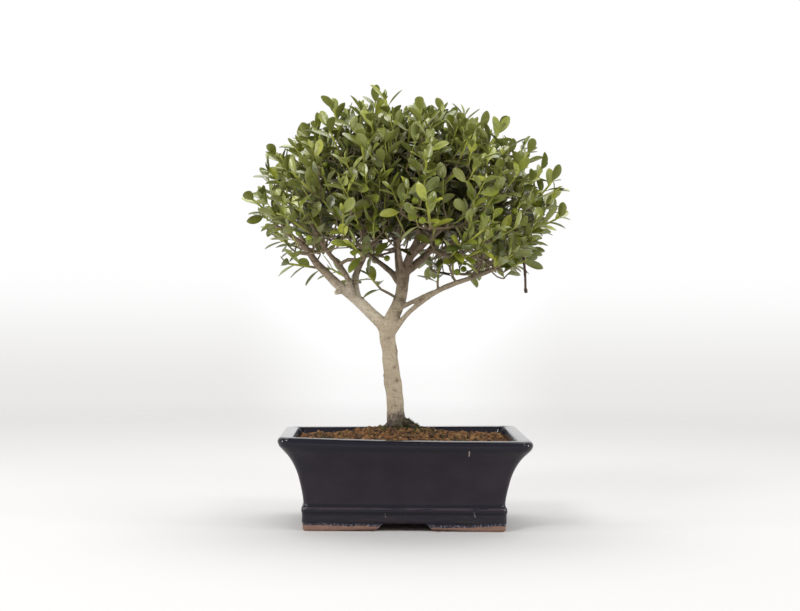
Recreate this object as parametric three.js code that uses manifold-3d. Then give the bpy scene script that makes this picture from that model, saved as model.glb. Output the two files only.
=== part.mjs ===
// Japanese holly bonsai in a flared, glazed rectangular pot, about 36 cm tall.
// Millimetres, +Z up, the front towards -Y. The plant is modelled round the middle of the pot,
// and at the end the whole is moved so that the origin lies under the middle of its extent.

import * as THREE from 'three';
import { mergeVertices } from 'three/addons/utils/BufferGeometryUtils.js';
import Module from 'manifold-3d';

const wasm = await Module();
wasm.setup();

// Pot
const RIM_LENGTH = 200;
const RIM_WIDTH = 150;
const POT_FLOOR = 12;
const FOOT_HEIGHT = 6.6;
const FOOT_BREADTH = 10;
const RIM_CORNER = 9;
const CORNER_TIGHTENING = 0.23;
const CORNER_STEPS = 3;
const DRAIN_RADIUS = 8;
const DRAIN_OFFSET = 42;
const DRAIN_SIDES = 14;
const KILN_TWIST = 1.2;
const FRONT_RIM_SAG = 1.3;
// Height, and how far the wall stands inside the rim's outermost edge
const OUTER_WALL = [
  [0, 20.6], [1.6, 19.6], [6.0, 19.4], [7.0, 18.9], [13.4, 18.9], [15.2, 18.4], [18.4, 18.6],
  [20.8, 19.9], [26, 19.6], [34, 18.1], [42, 16.2], [48, 14.2], [54, 11.4], [59.5, 7.8],
  [64, 3.8], [66.8, 1.3], [69.6, 0.1], [71.6, 0.1], [73.2, 1.0], [74, 2.8],
];
const INNER_WALL = [[74, 10.6], [72.4, 11.6], [62, 15.6], [50, 22], [34, 25.6], [POT_FLOOR, 27.6]];
const POT_HEIGHT = 74;

// Cut-out in the middle of each side of the foot: half width at the top and on the ground
const LONG_ARCH = { top: 17, ground: 25.5 };
const SHORT_ARCH = { top: 12, ground: 19 };
// Where the curve of its side is drawn to: out from its top, and above the ground
const ARCH_SWELL = 4;
const ARCH_RISE = 1.4;

// Drainage screens that lie over the drain holes
const SCREEN_SIZE = 27;
const SCREEN_OPENINGS = 3;
const SCREEN_BAR = 1.8;
const SCREEN_THICKNESS = 1.4;

// Soil
const GAP = 0.35;
const SOIL_EDGE = 67.5;
const SOIL_MOUND = 10.5;
const MOUND_SPREAD = 34;
const SOIL_BUMP = 0.9;
// Turn per mm of the two waves that make the bumps
const SOIL_WAVES = [[0.31, 0.17], [-0.11, 0.37]];
const SOIL_RINGS = [1, 0.88, 0.7, 0.52, 0.34, 0.16];
// Larger granules: how many, their radii, the area they lie in, and the bare ring round the trunk
const GRANULE_COUNT = 7;
const GRANULE_SEED = 5;
const GRANULE_RADII = [2.3, 3.6];
const GRANULE_AREA = [76, 50];
const GRANULE_SINK = 0.1;
const BARE_RING = 27;

// Crown: reach of the foliage from its middle, by elevation in degrees, on the right and left
const CROWN_MIDDLE = new THREE.Vector3(0, 0, 258);
const CROWN_DEPTH = 0.86;
const REACH_RIGHT = [[-34, 112], [-25, 125], [-12, 130], [0, 136], [12, 139], [25, 129], [40, 116],
  [55, 110], [72, 102], [90, 100]];
const REACH_LEFT = [[-34, 98], [-25, 110], [-13, 127], [0, 135], [14, 134], [38, 119], [55, 114],
  [68, 111], [90, 102]];
const SPRAY_COUNT = 44;
const TIP_SEED = 100;
const AZIMUTH_JITTER = 0.4;
const AIM_LIFT = 0.25;
const AIM_SCATTER = 0.16;
const REACH_JITTER = 4;
// How much of a leaf stands out past the tip of its shoot
const LEAF_OVERHANG = 0.75;
const LOWEST_SINE = -0.47;
const HIGHEST_SINE = 0.985;
const GOLDEN_ANGLE = Math.PI * (3 - Math.sqrt(5));

// Leafy shoots: a three-sided stem with a leaf or a berry on one face after another
const SHOOT_LENGTH = 27;
const STEM_RADIUS = 1.1;
const STEM_TIP_RADIUS = 0.85;
const STEM_SIDES = 3;
const STEM_TAPER = 0.013;
// The thickest a stem starts, as a share of what carries it
const STEM_SHARE = 0.8;
const CURVE_PULL = 0.32;
const LONG_STEM = 30;
const FORWARD_LEAN = 0.6;
const SHOOT_BEND = 0.14;
const BEND_SEED = 700;
const BEND_SCATTER = 0.5;
const BEND_LIFT = 0.4;
const LEAVES_PER_SHOOT = 7;
const LEAF_SEAT = 1.5;
const LEAF_LENGTH = 19;
const LEAF_WIDTH = 9.4;
const LEAF_THICKNESS = 0.7;
const LEAF_FOLD = 0.13;
const LEAF_DROOP = 0.1;
// How a leaf stands: its lean from the stem at the lowest seat and the highest, its turn, and the
// share of the stem's own direction, of chance and of the sky in where its face looks
const LEAF_LEAN = [1.1, 0.42];
const LEAN_JITTER = 0.4;
const TURN_JITTER = 0.9;
const MORE_LEAN = 0.03;
const FACE_FORWARD = 0.55;
const FACE_SCATTER = 0.3;
const FACE_UP = 0.7;
const LENGTH_RANGE = [0.84, 1.08];
const WIDTH_RANGE = [0.9, 1.06];
const TIP_LEAF_SHARE = 0.88;
const BERRY_RADIUS = 2.75;
const BERRY_STALK = 3.5;
const BERRY_EVERY = 3;
const BERRY_HEIGHT = 2.1;
// Distance from the stem, radius and turn of each ring of a berry
const BERRY_RINGS = [
  [BERRY_STALK, 0.5, 0],
  [BERRY_STALK + 0.55 * BERRY_RADIUS, 0.95 * BERRY_RADIUS, 0],
  [BERRY_STALK + 1.4 * BERRY_RADIUS, 0.95 * BERRY_RADIUS, Math.PI / 4],
];
const BERRY_LEAN = [1.35, 1.65];
const BERRY_CLEARANCE = 0.8;

// Wood: each limb is a list of x, y, z and radius, set by hand
const TRUNK = [
  [-5.5, 4, 56, 5.2], [-5.5, 4, 68, 7.4], [-5.6, 4, 77, 9.0], [-5.8, 3.5, 83, 8.0], [-6.6, 3, 93, 7.2],
  [-7.6, 3, 103, 7.1], [-9.4, 2, 117, 7.2], [-11.2, 1, 132, 6.5], [-12.4, 0.5, 143, 6.4],
  [-14, 0, 154, 6.9], [-13.5, 0, 165, 6.4],
];
const ROOTS = [
  [[-3, 2, 84, 4.4], [5, -1, 80.5, 3.8], [11, -3, 77.5, 2.8], [16, -5, 71, 2.0], [18, -6, 64, 1.5]],
  [[-8, 2, 84, 4.4], [-16, -1, 77, 3.6], [-22, -5, 71, 2.4], [-25, -7, 63, 1.6]],
  [[-6, 1, 83, 4.4], [-6, -8, 76, 3.6], [-3, -14, 70, 2.4], [-2, -17, 62, 1.6]],
  [[-5, 6, 83, 4.4], [-2, 14, 76, 3.4], [2, 20, 69, 2.2], [3, 23, 61, 1.5]],
];
const LIMBS = {
  left: [
    [-14, 0, 157, 6.0], [-20, 0, 165, 5.3], [-30, 0, 174, 4.8], [-38, -1, 182, 4.7], [-46, -2, 188, 4.3],
    [-55, -4, 195, 4.0], [-63, -6, 203, 3.6], [-73, -8, 213, 3.1], [-79, -10, 222, 2.7],
    [-86, -12, 229, 2.3], [-97, -14, 237, 1.8], [-106, -15, 242, 1.3],
  ],
  middle: [
    [-13, 0, 157, 6.3], [-10.5, 0, 168, 6.0], [-6, 0, 178, 5.6], [-3, 0, 188, 5.2], [-1, 0, 200, 4.6],
    [3, -1, 216, 3.8], [7, -2, 225, 3.3], [11, -3, 237, 2.6], [10, -4, 250, 2.0], [12, -3, 266, 1.6],
  ],
  right_low: [
    [-9, -2, 157, 3.4], [-4, -3, 164, 2.7], [4, -5, 173.5, 2.4], [17, -7, 184, 2.4], [27, -8, 191, 2.7],
    [38, -9, 196, 2.6], [46, -10, 199, 2.5], [58, -11, 203, 2.3], [68, -12, 207, 2.2],
    [78, -13, 211, 2.0], [87, -13, 214, 1.8], [94, -13, 219, 1.7], [98, -12, 227, 1.4],
  ],
  right_high: [[-6, -1, 175, 2.8], [1, -4, 179, 2.3], [17, -5.5, 187, 2.2], [28, -8, 191.5, 2.2]],
  left_rising: [
    [-38, -1, 180, 3.6], [-40, 1, 190, 3.1], [-41, 2, 198, 2.9], [-39, 3, 208, 2.8], [-34, 4, 219, 2.6],
    [-33, 5, 226, 2.2], [-36, 6, 239, 1.9], [-39, 8, 254, 1.6], [-42, 9, 266, 1.3],
  ],
  left_rising_fan_left: [[-33, 5, 221, 2.0], [-45, 9, 227.5, 1.6], [-55, 13, 236, 1.2]],
  left_rising_fan_right: [[-33, 5, 222, 2.2], [-27, 4, 228, 1.8], [-18, 2, 237, 1.6], [-12, -1, 245, 1.4],
    [-9, -4, 254, 1.1]],
  left_front: [
    [-43, -2, 186, 3.2], [-47, -7, 200, 2.5], [-54, -11, 211, 2.2], [-62, -15, 220, 2.0],
    [-69, -20, 230, 1.8], [-75, -25, 241, 1.6], [-80, -29, 251, 1.2],
  ],
  left_rear: [[-79, -9, 221, 2.3], [-85, 0, 233, 1.8], [-91, 11, 244, 1.5], [-97, 22, 259, 1.2]],
  middle_rear: [[-2, 0, 199, 3.6], [-5, 8, 211, 3.0], [-6, 16, 223, 2.7], [-8, 25, 238, 2.2],
    [-8, 34, 252, 1.7], [-6, 42, 267, 1.3]],
  rear_left: [[-3, 1, 195, 3.2], [-10, 10, 205, 2.6], [-19, 21, 213, 2.3], [-29, 33, 221, 2.0],
    [-40, 44, 232, 1.7], [-50, 54, 245, 1.3]],
  rear_right: [[0, 0, 206, 3.8], [8, 6, 212, 3.5], [17, 13, 220, 3.2], [25, 20, 230, 2.7],
    [32, 28, 242, 2.1], [38, 37, 255, 1.6]],
  rear_right_spur: [[22, 17, 226, 2.4], [35, 24, 221, 2.0], [50, 32, 224, 1.7], [66, 39, 234, 1.3]],
  front_right: [[4, -1, 218, 3.0], [15, -8, 229, 2.6], [25, -13, 238, 2.3], [34, -17, 245, 1.9]],
  front_middle: [[-1, 0, 201, 2.6], [-4, -10, 214, 2.2], [-6, -22, 227, 1.9], [-7, -36, 240, 1.6],
    [-6, -48, 254, 1.2]],
  right_rising: [[56, -11, 202, 2.0], [62, -7, 214, 1.8], [66, -3, 228, 1.6], [72, 1, 243, 1.3]],
  dead_twig: [[96, -12.5, 224, 1.1], [96.5, -16, 216, 1.0], [97.5, -17, 204, 0.9], [98, -17, 191, 0.8]],
  pruned_knob: [[-50, -3, 192, 3.4], [-54, -7, 189.5, 2.4], [-57, -9, 188.5, 1.8]],
};
// Tips moved to leave the middle stem and the dead twig in view, counted from 0
const MOVED_TIPS = { 0: [0, 0, 14], 2: [58, 12, 12], 5: [0, 0, 10] };
// Shoots, counted from 0, whose foot keeps clear of the bark by about 2 mm
const CLEAR_FEET = [20];
// Shoots that sprout low down, below the crown: foot, direction, length and number of leaves
const LOW_SHOOTS = [
  { foot: [26.5, -11.5, 198], aim: [0.1, -0.35, 0.93], length: 9, leaves: 4 },
  { foot: [38.5, -12.5, 203], aim: [0.05, -0.3, 0.95], length: 9, leaves: 3 },
  { foot: [-20, -10, 192], aim: [-0.55, -0.38, 0.6], length: 15, leaves: 5 },
];

// Colours
const GLAZE = { color: 0x2f2d3a, roughness: 0.25, metalness: 0 };
const CLAY = { color: 0x7e655b, roughness: 0.9, metalness: 0 };
const EARTH = { color: 0x8a5c33, roughness: 1, metalness: 0 };
const BARK = { color: 0xb3a38c, roughness: 0.85, metalness: 0 };
const LEAF_GREEN = { color: 0x5f6c32, roughness: 0.45, metalness: 0 };
const PLASTIC = { color: 0x1f2a24, roughness: 0.6, metalness: 0 };

// Fineness of the facets, and the search for free room
const TRUNK_SIDES = 9;
const ROOT_SIDES = 6;
// A limb's first radius, and the sides of a limb thicker than that
const LIMB_SIDES = [[4, 7], [2.2, 6], [0, 5]];
const CUBE = 8;
const PATH_STEP = 1.6;
const ATTEMPTS = 16;
const STEM_CLEARANCE = 1.6;
const LEAF_CLEARANCE = 3.1;
const OWN_LEAF_CLEARANCE = 2.2;
const OWN_STEM_CLEARANCE = 1.3;
const STEM_ATTEMPTS = 12;
const STEM_SPACING = 0.7;
const COLLAR = 1;
const NEAR_BUD = 7;
const FOOT_STRETCH = 3.5;
const MOST_SLANT = 0.72;
const MOST_BEND = 0.87;
const STEM_SEED = 900;
const FOOT_SHIFT = 1.1;
const BOW_STEP = 0.08;
// A bud above the foot of a shoot costs more, so that stems rise
const DOWNHILL_COST = 0.8;
const DOWNHILL_MARGIN = 5;
const BERRY_SEAT = 1;
const LEAF_SEED = 500;
const BARE_LIMBS = ['dead_twig', 'pruned_knob', 'right_high'];
const AIM_SOURCE = new THREE.Vector3(0, 0, 222);
const UP = new THREE.Vector3(0, 0, 1);

// Repeatable random numbers from 0 to 1
function seededRandom(seed) {
  let state = seed;
  const draw = () => {
    state = (state * 1664525 + 1013904223) % 4294967296;
    return state / 4294967296;
  };
  for (let i = 0; i < 3; i += 1) draw();
  return draw;
}

function vector(list) {
  return new THREE.Vector3(list[0], list[1], list[2]);
}

function mix(a, b, share) {
  return a + (b - a) * share;
}

// Value at x of a line drawn through [x, value] pairs
function along(pairs, x) {
  if (x <= pairs[0][0]) return pairs[0][1];
  for (let i = 1; i < pairs.length; i += 1) {
    if (x <= pairs[i][0]) {
      const share = (x - pairs[i - 1][0]) / (pairs[i][0] - pairs[i - 1][0]);
      return mix(pairs[i - 1][1], pairs[i][1], share);
    }
  }
  return pairs[pairs.length - 1][1];
}

function geometryFrom(points, faces) {
  const geometry = new THREE.BufferGeometry().setFromPoints(points);
  geometry.setIndex(faces.flat());
  return geometry;
}

function solidFrom(geometry) {
  const bare = geometry.clone();
  bare.deleteAttribute('normal');
  bare.deleteAttribute('uv');
  const merged = mergeVertices(bare);
  const vertProperties = new Float32Array(merged.attributes.position.array);
  const triVerts = new Uint32Array(merged.index.array);
  return new wasm.Manifold(new wasm.Mesh({ numProp: 3, vertProperties, triVerts }));
}

function geometryOf(solid) {
  const { vertProperties, triVerts } = solid.getMesh();
  const geometry = new THREE.BufferGeometry();
  geometry.setAttribute('position', new THREE.BufferAttribute(new Float32Array(vertProperties), 3));
  geometry.setIndex(new THREE.BufferAttribute(new Uint32Array(triVerts), 1));
  geometry.computeVertexNormals();
  return geometry;
}

function union(solids) {
  return solids.reduce((whole, piece) => whole.add(piece));
}

// A cut can leave a crumb inside the wood: the shoot is the largest of what remains
function largestOf(solid) {
  return solid.decompose().reduce((best, piece) => (piece.volume() > best.volume() ? piece : best));
}

// Closed skin through rings of points, each counter-clockwise as seen from the last ring
function loft(rings) {
  const count = rings[0].length;
  const faces = [];
  for (let ring = 0; ring + 1 < rings.length; ring += 1) {
    for (let i = 0; i < count; i += 1) {
      const a = ring * count + i;
      const b = ring * count + ((i + 1) % count);
      faces.push([a, b, b + count], [a, b + count, a + count]);
    }
  }
  const last = (rings.length - 1) * count;
  for (let i = 1; i + 1 < count; i += 1) {
    faces.push([0, i + 1, i], [last, last + i, last + i + 1]);
  }
  return geometryFrom(rings.flat(), faces);
}

// Direction of a line at one of its points, halfway between those of the stretches that meet there
function headingAt(points, i) {
  const heading = new THREE.Vector3();
  if (i > 0) heading.add(points[i].clone().sub(points[i - 1]).normalize());
  if (i + 1 < points.length) heading.add(points[i + 1].clone().sub(points[i]).normalize());
  return heading.normalize();
}

// Rings round a path of x, y, z and radius, with the frame that each ring stands in
function ringsAlong(path, sides, extra = 0) {
  const points = path.map(vector);
  const normal = new THREE.Vector3();
  let tangent = new THREE.Vector3();
  return points.map((point, i) => {
    const heading = headingAt(points, i);
    if (i === 0) {
      normal.set(0, 1, 0).addScaledVector(heading, -heading.y).normalize();
    } else {
      normal.applyQuaternion(new THREE.Quaternion().setFromUnitVectors(tangent, heading));
      normal.addScaledVector(heading, -normal.dot(heading)).normalize();
    }
    tangent = heading;
    const frame = { heading, normal: normal.clone(), side: heading.clone().cross(normal) };
    const radius = path[i][3] + extra;
    const turn = path[i][4] ?? 0;
    const ring = Array.from({ length: sides }, (_, k) => (
      point.clone().addScaledVector(spoke(frame, turn + (2 * Math.PI * k) / sides), radius)
    ));
    return { frame, ring };
  });
}

// Direction square to a stem, by its angle in the frame of a ring
function spoke({ normal, side }, angle) {
  return normal.clone().multiplyScalar(Math.cos(angle)).addScaledVector(side, Math.sin(angle));
}

function tube(path, sides, extra = 0) {
  return solidFrom(loft(ringsAlong(path, sides, extra).map(({ ring }) => ring)));
}

// Tube that stands clear of the plain one by a gap on every side
function clearTube(path, sides) {
  return tube(lengthened(path, GAP), sides, GAP / Math.cos(Math.PI / sides));
}

// Path with both ends pushed out by the same length
function lengthened(path, extra) {
  const longer = path.map((point) => [...point]);
  const last = path.length - 1;
  for (const [index, inner] of [[0, 1], [last, last - 1]]) {
    const end = vector(path[index]);
    const outward = end.clone().sub(vector(path[inner])).normalize();
    end.addScaledVector(outward, extra).toArray().forEach((value, i) => {
      longer[index][i] = value;
    });
  }
  return longer;
}

// Pot

// How far the kiln lifted the wall above the point x, y of the floor
function warp(x, y, height) {
  const rise = Math.max(0, (height - POT_FLOOR) / (POT_HEIGHT - POT_FLOOR));
  const twist = KILN_TWIST * (x / (RIM_LENGTH / 2)) * (y / (RIM_WIDTH / 2));
  const sag = FRONT_RIM_SAG * (1 - (x / (RIM_LENGTH / 2)) ** 2) * (0.5 - y / RIM_WIDTH);
  return rise * (twist - sag);
}

// Rounded rectangle, with two more points on each long side
function potOutline(inset) {
  const halfLength = RIM_LENGTH / 2 - inset;
  const halfWidth = RIM_WIDTH / 2 - inset;
  const corner = RIM_CORNER - CORNER_TIGHTENING * inset;
  const points = [];
  [[1, 1], [-1, 1], [-1, -1], [1, -1]].forEach(([sideX, sideY], quarter) => {
    for (let step = 0; step <= CORNER_STEPS; step += 1) {
      const angle = (quarter + step / CORNER_STEPS) * (Math.PI / 2);
      points.push([
        sideX * (halfLength - corner) + corner * Math.cos(angle),
        sideY * (halfWidth - corner) + corner * Math.sin(angle),
      ]);
    }
    if (sideX * sideY > 0) {
      const third = (sideX * halfLength) / 3;
      points.push([third, sideY * halfWidth], [-third, sideY * halfWidth]);
    }
  });
  return points;
}

function potRing([height, inset]) {
  return potOutline(inset).map(([x, y]) => new THREE.Vector3(x, y, height + warp(x, y, height)));
}

// Prism across the whole foot, with sides that curve out towards the ground
function archCutter({ top, ground }, span) {
  const shape = new THREE.Shape();
  shape.moveTo(-ground, -1);
  shape.lineTo(ground, -1);
  shape.lineTo(ground, 0);
  shape.quadraticCurveTo(top + ARCH_SWELL, ARCH_RISE, top, FOOT_HEIGHT);
  shape.lineTo(-top, FOOT_HEIGHT);
  shape.quadraticCurveTo(-top - ARCH_SWELL, ARCH_RISE, -ground, 0);
  const geometry = new THREE.ExtrudeGeometry(shape, { depth: span, bevelEnabled: false, curveSegments: 3 });
  geometry.translate(0, 0, -span / 2);
  geometry.rotateX(Math.PI / 2);
  return geometry;
}

function footRecess() {
  const inset = OUTER_WALL[1][1] + FOOT_BREADTH;
  return solidFrom(loft([potRing([-1, inset]), potRing([FOOT_HEIGHT, inset + 1])]));
}

function drainHole(x) {
  const hole = new THREE.CylinderGeometry(DRAIN_RADIUS, DRAIN_RADIUS, 2 * POT_FLOOR, DRAIN_SIDES);
  hole.rotateX(Math.PI / 2);
  hole.translate(x, 0, POT_FLOOR);
  return solidFrom(hole);
}

function firedBody() {
  return solidFrom(loft([...OUTER_WALL, ...INNER_WALL].map(potRing)));
}

function bowl() {
  return firedBody()
    .trimByPlane([0, 0, 1], FOOT_HEIGHT)
    .subtract(drainHole(-DRAIN_OFFSET))
    .subtract(drainHole(DRAIN_OFFSET));
}

// What the arches leave of the bare clay rim under the bowl: a foot at each corner
function feet() {
  const shortArch = archCutter(SHORT_ARCH, RIM_LENGTH);
  shortArch.rotateZ(Math.PI / 2);
  return firedBody()
    .trimByPlane([0, 0, -1], GAP - FOOT_HEIGHT)
    .subtract(solidFrom(archCutter(LONG_ARCH, RIM_WIDTH)))
    .subtract(solidFrom(shortArch))
    .subtract(footRecess())
    .decompose();
}

function footName(foot) {
  const { min, max } = foot.boundingBox();
  const depth = min[1] + max[1] > 0 ? 'rear' : 'front';
  const side = min[0] + max[0] > 0 ? 'right' : 'left';
  return `foot_${depth}_${side}`;
}

// Drainage screens

function block(size, depth, x, y, z) {
  const geometry = new THREE.BoxGeometry(size, size, depth);
  geometry.translate(x, y, z);
  return solidFrom(geometry);
}

function drainScreen(x) {
  const height = POT_FLOOR + GAP + SCREEN_THICKNESS / 2;
  const pitch = (SCREEN_SIZE - SCREEN_BAR) / SCREEN_OPENINGS;
  const first = -((SCREEN_OPENINGS - 1) / 2) * pitch;
  let screen = block(SCREEN_SIZE, SCREEN_THICKNESS, x, 0, height);
  for (let row = 0; row < SCREEN_OPENINGS; row += 1) {
    for (let column = 0; column < SCREEN_OPENINGS; column += 1) {
      const opening = block(
        pitch - SCREEN_BAR,
        2 * SCREEN_THICKNESS,
        x + first + column * pitch,
        first + row * pitch,
        height,
      );
      screen = screen.subtract(opening);
    }
  }
  return screen;
}

// Soil

function soilTop(x, y) {
  const [rootX, rootY] = TRUNK[0];
  const away = (x - rootX) ** 2 + (y - rootY) ** 2;
  const mound = SOIL_MOUND * Math.exp(-away / (2 * MOUND_SPREAD ** 2));
  const [across, lengthwise] = SOIL_WAVES.map(([turnX, turnY]) => x * turnX + y * turnY);
  const bumps = SOIL_BUMP * Math.sin(across) * Math.cos(lengthwise);
  return SOIL_EDGE + mound + bumps;
}

function soilRing(share) {
  const inset = along([...INNER_WALL].reverse().slice(1), SOIL_EDGE) + GAP;
  return potOutline(inset).map(([x, y]) => {
    const point = [x * share, y * share];
    const height = soilTop(...point);
    return new THREE.Vector3(...point, height + warp(...point, height));
  });
}

// Lump of fired clay granule, half sunk in the surface
function granule(random) {
  const x = GRANULE_AREA[0] * mix(-1, 1, random());
  const y = GRANULE_AREA[1] * mix(-1, 1, random());
  const size = mix(...GRANULE_RADII, random());
  const geometry = new THREE.OctahedronGeometry(size);
  geometry.rotateX(random() * Math.PI);
  geometry.rotateZ(random() * Math.PI);
  geometry.translate(x, y, soilTop(x, y) - GRANULE_SINK * size);
  return { x, y, geometry };
}

function soil() {
  const wall = INNER_WALL.filter(([height]) => height < SOIL_EDGE).reverse();
  const sides = wall.map(([height, inset], i) => potRing([i === 0 ? height + GAP : height, inset + GAP]));
  let bed = solidFrom(loft([...sides, ...SOIL_RINGS.map(soilRing)]));
  const random = seededRandom(GRANULE_SEED);
  let placed = 0;
  while (placed < GRANULE_COUNT) {
    const { x, y, geometry } = granule(random);
    if (Math.hypot(x - TRUNK[0][0], y - TRUNK[0][1]) > BARE_RING) {
      bed = bed.add(solidFrom(geometry));
      placed += 1;
    }
  }
  for (const x of [-DRAIN_OFFSET, DRAIN_OFFSET]) {
    const top = POT_FLOOR + 2 * GAP + SCREEN_THICKNESS;
    bed = bed.subtract(block(SCREEN_SIZE + 2 * GAP, 4, x, 0, top - 2));
  }
  return bed;
}

function rootHoles() {
  return union([clearTube(TRUNK, TRUNK_SIDES), ...ROOTS.map((root) => clearTube(root, ROOT_SIDES))]);
}

// Room taken up by what is already placed, as balls sorted into cubes of space
class Room {
  constructor() {
    this.cubes = new Map();
  }

  static cube(point) {
    return [point.x, point.y, point.z].map((value) => Math.floor(value / CUBE));
  }

  add(point, radius, owner) {
    const key = Room.cube(point).join();
    if (!this.cubes.has(key)) this.cubes.set(key, []);
    this.cubes.get(key).push({ point, radius, owner });
  }

  // Whether a point lies nearer to any placed ball than margin(owner) allows
  crowded(point, margin) {
    const [cx, cy, cz] = Room.cube(point);
    for (let x = cx - 1; x <= cx + 1; x += 1) {
      for (let y = cy - 1; y <= cy + 1; y += 1) {
        for (let z = cz - 1; z <= cz + 1; z += 1) {
          for (const ball of this.cubes.get([x, y, z].join()) ?? []) {
            if (ball.point.distanceTo(point) < ball.radius + margin(ball.owner)) return true;
          }
        }
      }
    }
    return false;
  }

  // The part of a path that lies further than `buried` from its start
  addPath(path, owner, buried = 0) {
    const start = vector(path[0]);
    pathPoints(path)
      .filter(({ point }) => point.distanceTo(start) >= buried)
      .forEach(({ point, radius }) => this.add(point, radius, owner));
  }
}

function pathPoints(path) {
  const list = [];
  for (let i = 0; i + 1 < path.length; i += 1) {
    const from = vector(path[i]);
    const to = vector(path[i + 1]);
    const steps = Math.ceil(from.distanceTo(to) / PATH_STEP);
    for (let step = 0; step < steps; step += 1) {
      const radius = mix(path[i][3], path[i + 1][3], step / steps);
      list.push({ point: from.clone().lerp(to, step / steps), radius });
    }
  }
  return list;
}

// Crown

function crownPoint(azimuth, sine) {
  const elevation = THREE.MathUtils.radToDeg(Math.asin(sine));
  const rightness = (1 + Math.cos(azimuth)) / 2;
  const reach = mix(along(REACH_LEFT, elevation), along(REACH_RIGHT, elevation), rightness);
  const cosine = Math.sqrt(1 - sine * sine);
  const outward = new THREE.Vector3(
    cosine * Math.cos(azimuth),
    CROWN_DEPTH * cosine * Math.sin(azimuth),
    sine,
  );
  return outward.multiplyScalar(reach).add(CROWN_MIDDLE);
}

function scatter(random, size) {
  const x = random() - 0.5;
  const y = random() - 0.5;
  const z = random() - 0.5;
  return new THREE.Vector3(x, y, z).multiplyScalar(2 * size);
}

// Foot and direction of each leafy shoot, spread evenly over the dome
function crownShoots() {
  return Array.from({ length: SPRAY_COUNT }, (_, index) => {
    const random = seededRandom(TIP_SEED + index);
    const sine = mix(LOWEST_SINE, HIGHEST_SINE, (index + 0.5) / SPRAY_COUNT);
    const tip = crownPoint(index * GOLDEN_ANGLE + AZIMUTH_JITTER * (random() - 0.5), sine);
    tip.add(vector(MOVED_TIPS[index] ?? [0, 0, 0]));
    const aim = tip.clone().sub(AIM_SOURCE).normalize();
    aim.z += AIM_LIFT;
    aim.add(scatter(random, AIM_SCATTER)).normalize();
    const reach = SHOOT_LENGTH + LEAF_OVERHANG * LEAF_LENGTH + REACH_JITTER * random();
    return { foot: tip.addScaledVector(aim, -reach), aim, length: SHOOT_LENGTH, leaves: LEAVES_PER_SHOOT };
  });
}

// Places on a path where a branch can leave it
function budsOn(path, owner) {
  const buds = [];
  for (let i = 0; i + 1 < path.length; i += 1) {
    const heading = vector(path[i + 1]).sub(vector(path[i])).normalize();
    for (const share of [0.5, 1]) {
      const point = vector(path[i]).lerp(vector(path[i + 1]), share);
      buds.push({ point, heading, owner, radius: mix(path[i][3], path[i + 1][3], share) });
    }
  }
  return buds;
}

function budCost(bud, foot) {
  return bud.point.distanceTo(foot) + DOWNHILL_COST * Math.max(0, bud.point.z - foot.z + DOWNHILL_MARGIN);
}

// Curved branch from a bud on the wood to the foot of a shoot, and on along the shoot
function stemTo(bud, shoot, bow) {
  const direct = shoot.foot.clone().sub(bud.point).normalize();
  const leave = direct.addScaledVector(bud.heading, FORWARD_LEAN).add(bow).normalize();
  const slant = leave.dot(bud.heading);
  if (Math.abs(slant) > MOST_SLANT) {
    leave.addScaledVector(bud.heading, -slant).normalize().multiplyScalar(Math.sqrt(1 - MOST_SLANT ** 2));
    leave.addScaledVector(bud.heading, Math.sign(slant) * MOST_SLANT);
  }
  const cosine = leave.dot(bud.heading);
  const slope = Math.sqrt(1 - cosine * cosine);
  const span = bud.point.distanceTo(shoot.foot);
  const thick = Math.min(STEM_SHARE * bud.radius, STEM_RADIUS + STEM_TAPER * span);
  const clear = (bud.radius + GAP + thick * Math.abs(cosine)) / slope;
  const start = bud.point.clone().addScaledVector(leave, shoot.standsClear ? clear : 0);
  const p1 = start.clone().addScaledVector(leave, CURVE_PULL * span);
  const p2 = shoot.foot.clone().addScaledVector(shoot.aim, -CURVE_PULL * span);
  const curve = new THREE.CubicBezierCurve3(start, p1, p2, shoot.foot);
  const steps = span > LONG_STEM ? 3 : 2;
  const branch = Array.from({ length: steps }, (_, step) => {
    const at = curve.getPoint(step / steps);
    return [at.x, at.y, at.z, mix(thick, STEM_RADIUS, step / steps)];
  });
  const buried = shoot.standsClear ? 0 : bud.radius / slope;
  return { branch, path: [...branch, ...shootRings(shoot)], buried, owner: bud.owner };
}

// Two rings for the seat of each leaf, turned on by the golden angle from one seat to the next
function shootRings(shoot) {
  const rings = [];
  for (let i = 0; i < shoot.leaves; i += 1) {
    const share = i / (shoot.leaves - 1);
    const turn = i * (GOLDEN_ANGLE - (2 * Math.PI) / STEM_SIDES);
    const at = shoot.foot.clone().addScaledVector(shoot.aim, shoot.length * share);
    at.addScaledVector(shoot.bend, SHOOT_BEND * shoot.length * share * share);
    for (const half of [-0.5, 0.5]) {
      const point = at.clone().addScaledVector(shoot.aim, half * LEAF_SEAT);
      rings.push([point.x, point.y, point.z, mix(STEM_RADIUS, STEM_TIP_RADIUS, share), turn]);
    }
  }
  return rings;
}

// Whether a path bends nowhere by more than an angle in radians
function bendsGently(path, most) {
  const stretches = path.slice(1).map((point, i) => vector(point).sub(vector(path[i])));
  return stretches.slice(1).every((stretch, i) => stretch.angleTo(stretches[i]) < most);
}

// A stem may come close to the wood that it leaves only by its foot
function stemIsClear(stem, room) {
  const start = vector(stem.path[0]);
  return pathPoints(stem.path).every(({ point, radius }) => {
    const away = point.distanceTo(start) - stem.buried;
    if (away < 0) return true;
    const besideBud = away < COLLAR ? -Infinity : GAP + radius * Math.min(1, away / FOOT_STRETCH);
    return !room.crowded(point, (owner) => (
      owner === stem.owner && away < NEAR_BUD ? besideBud : radius + STEM_SPACING
    ));
  });
}

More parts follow.
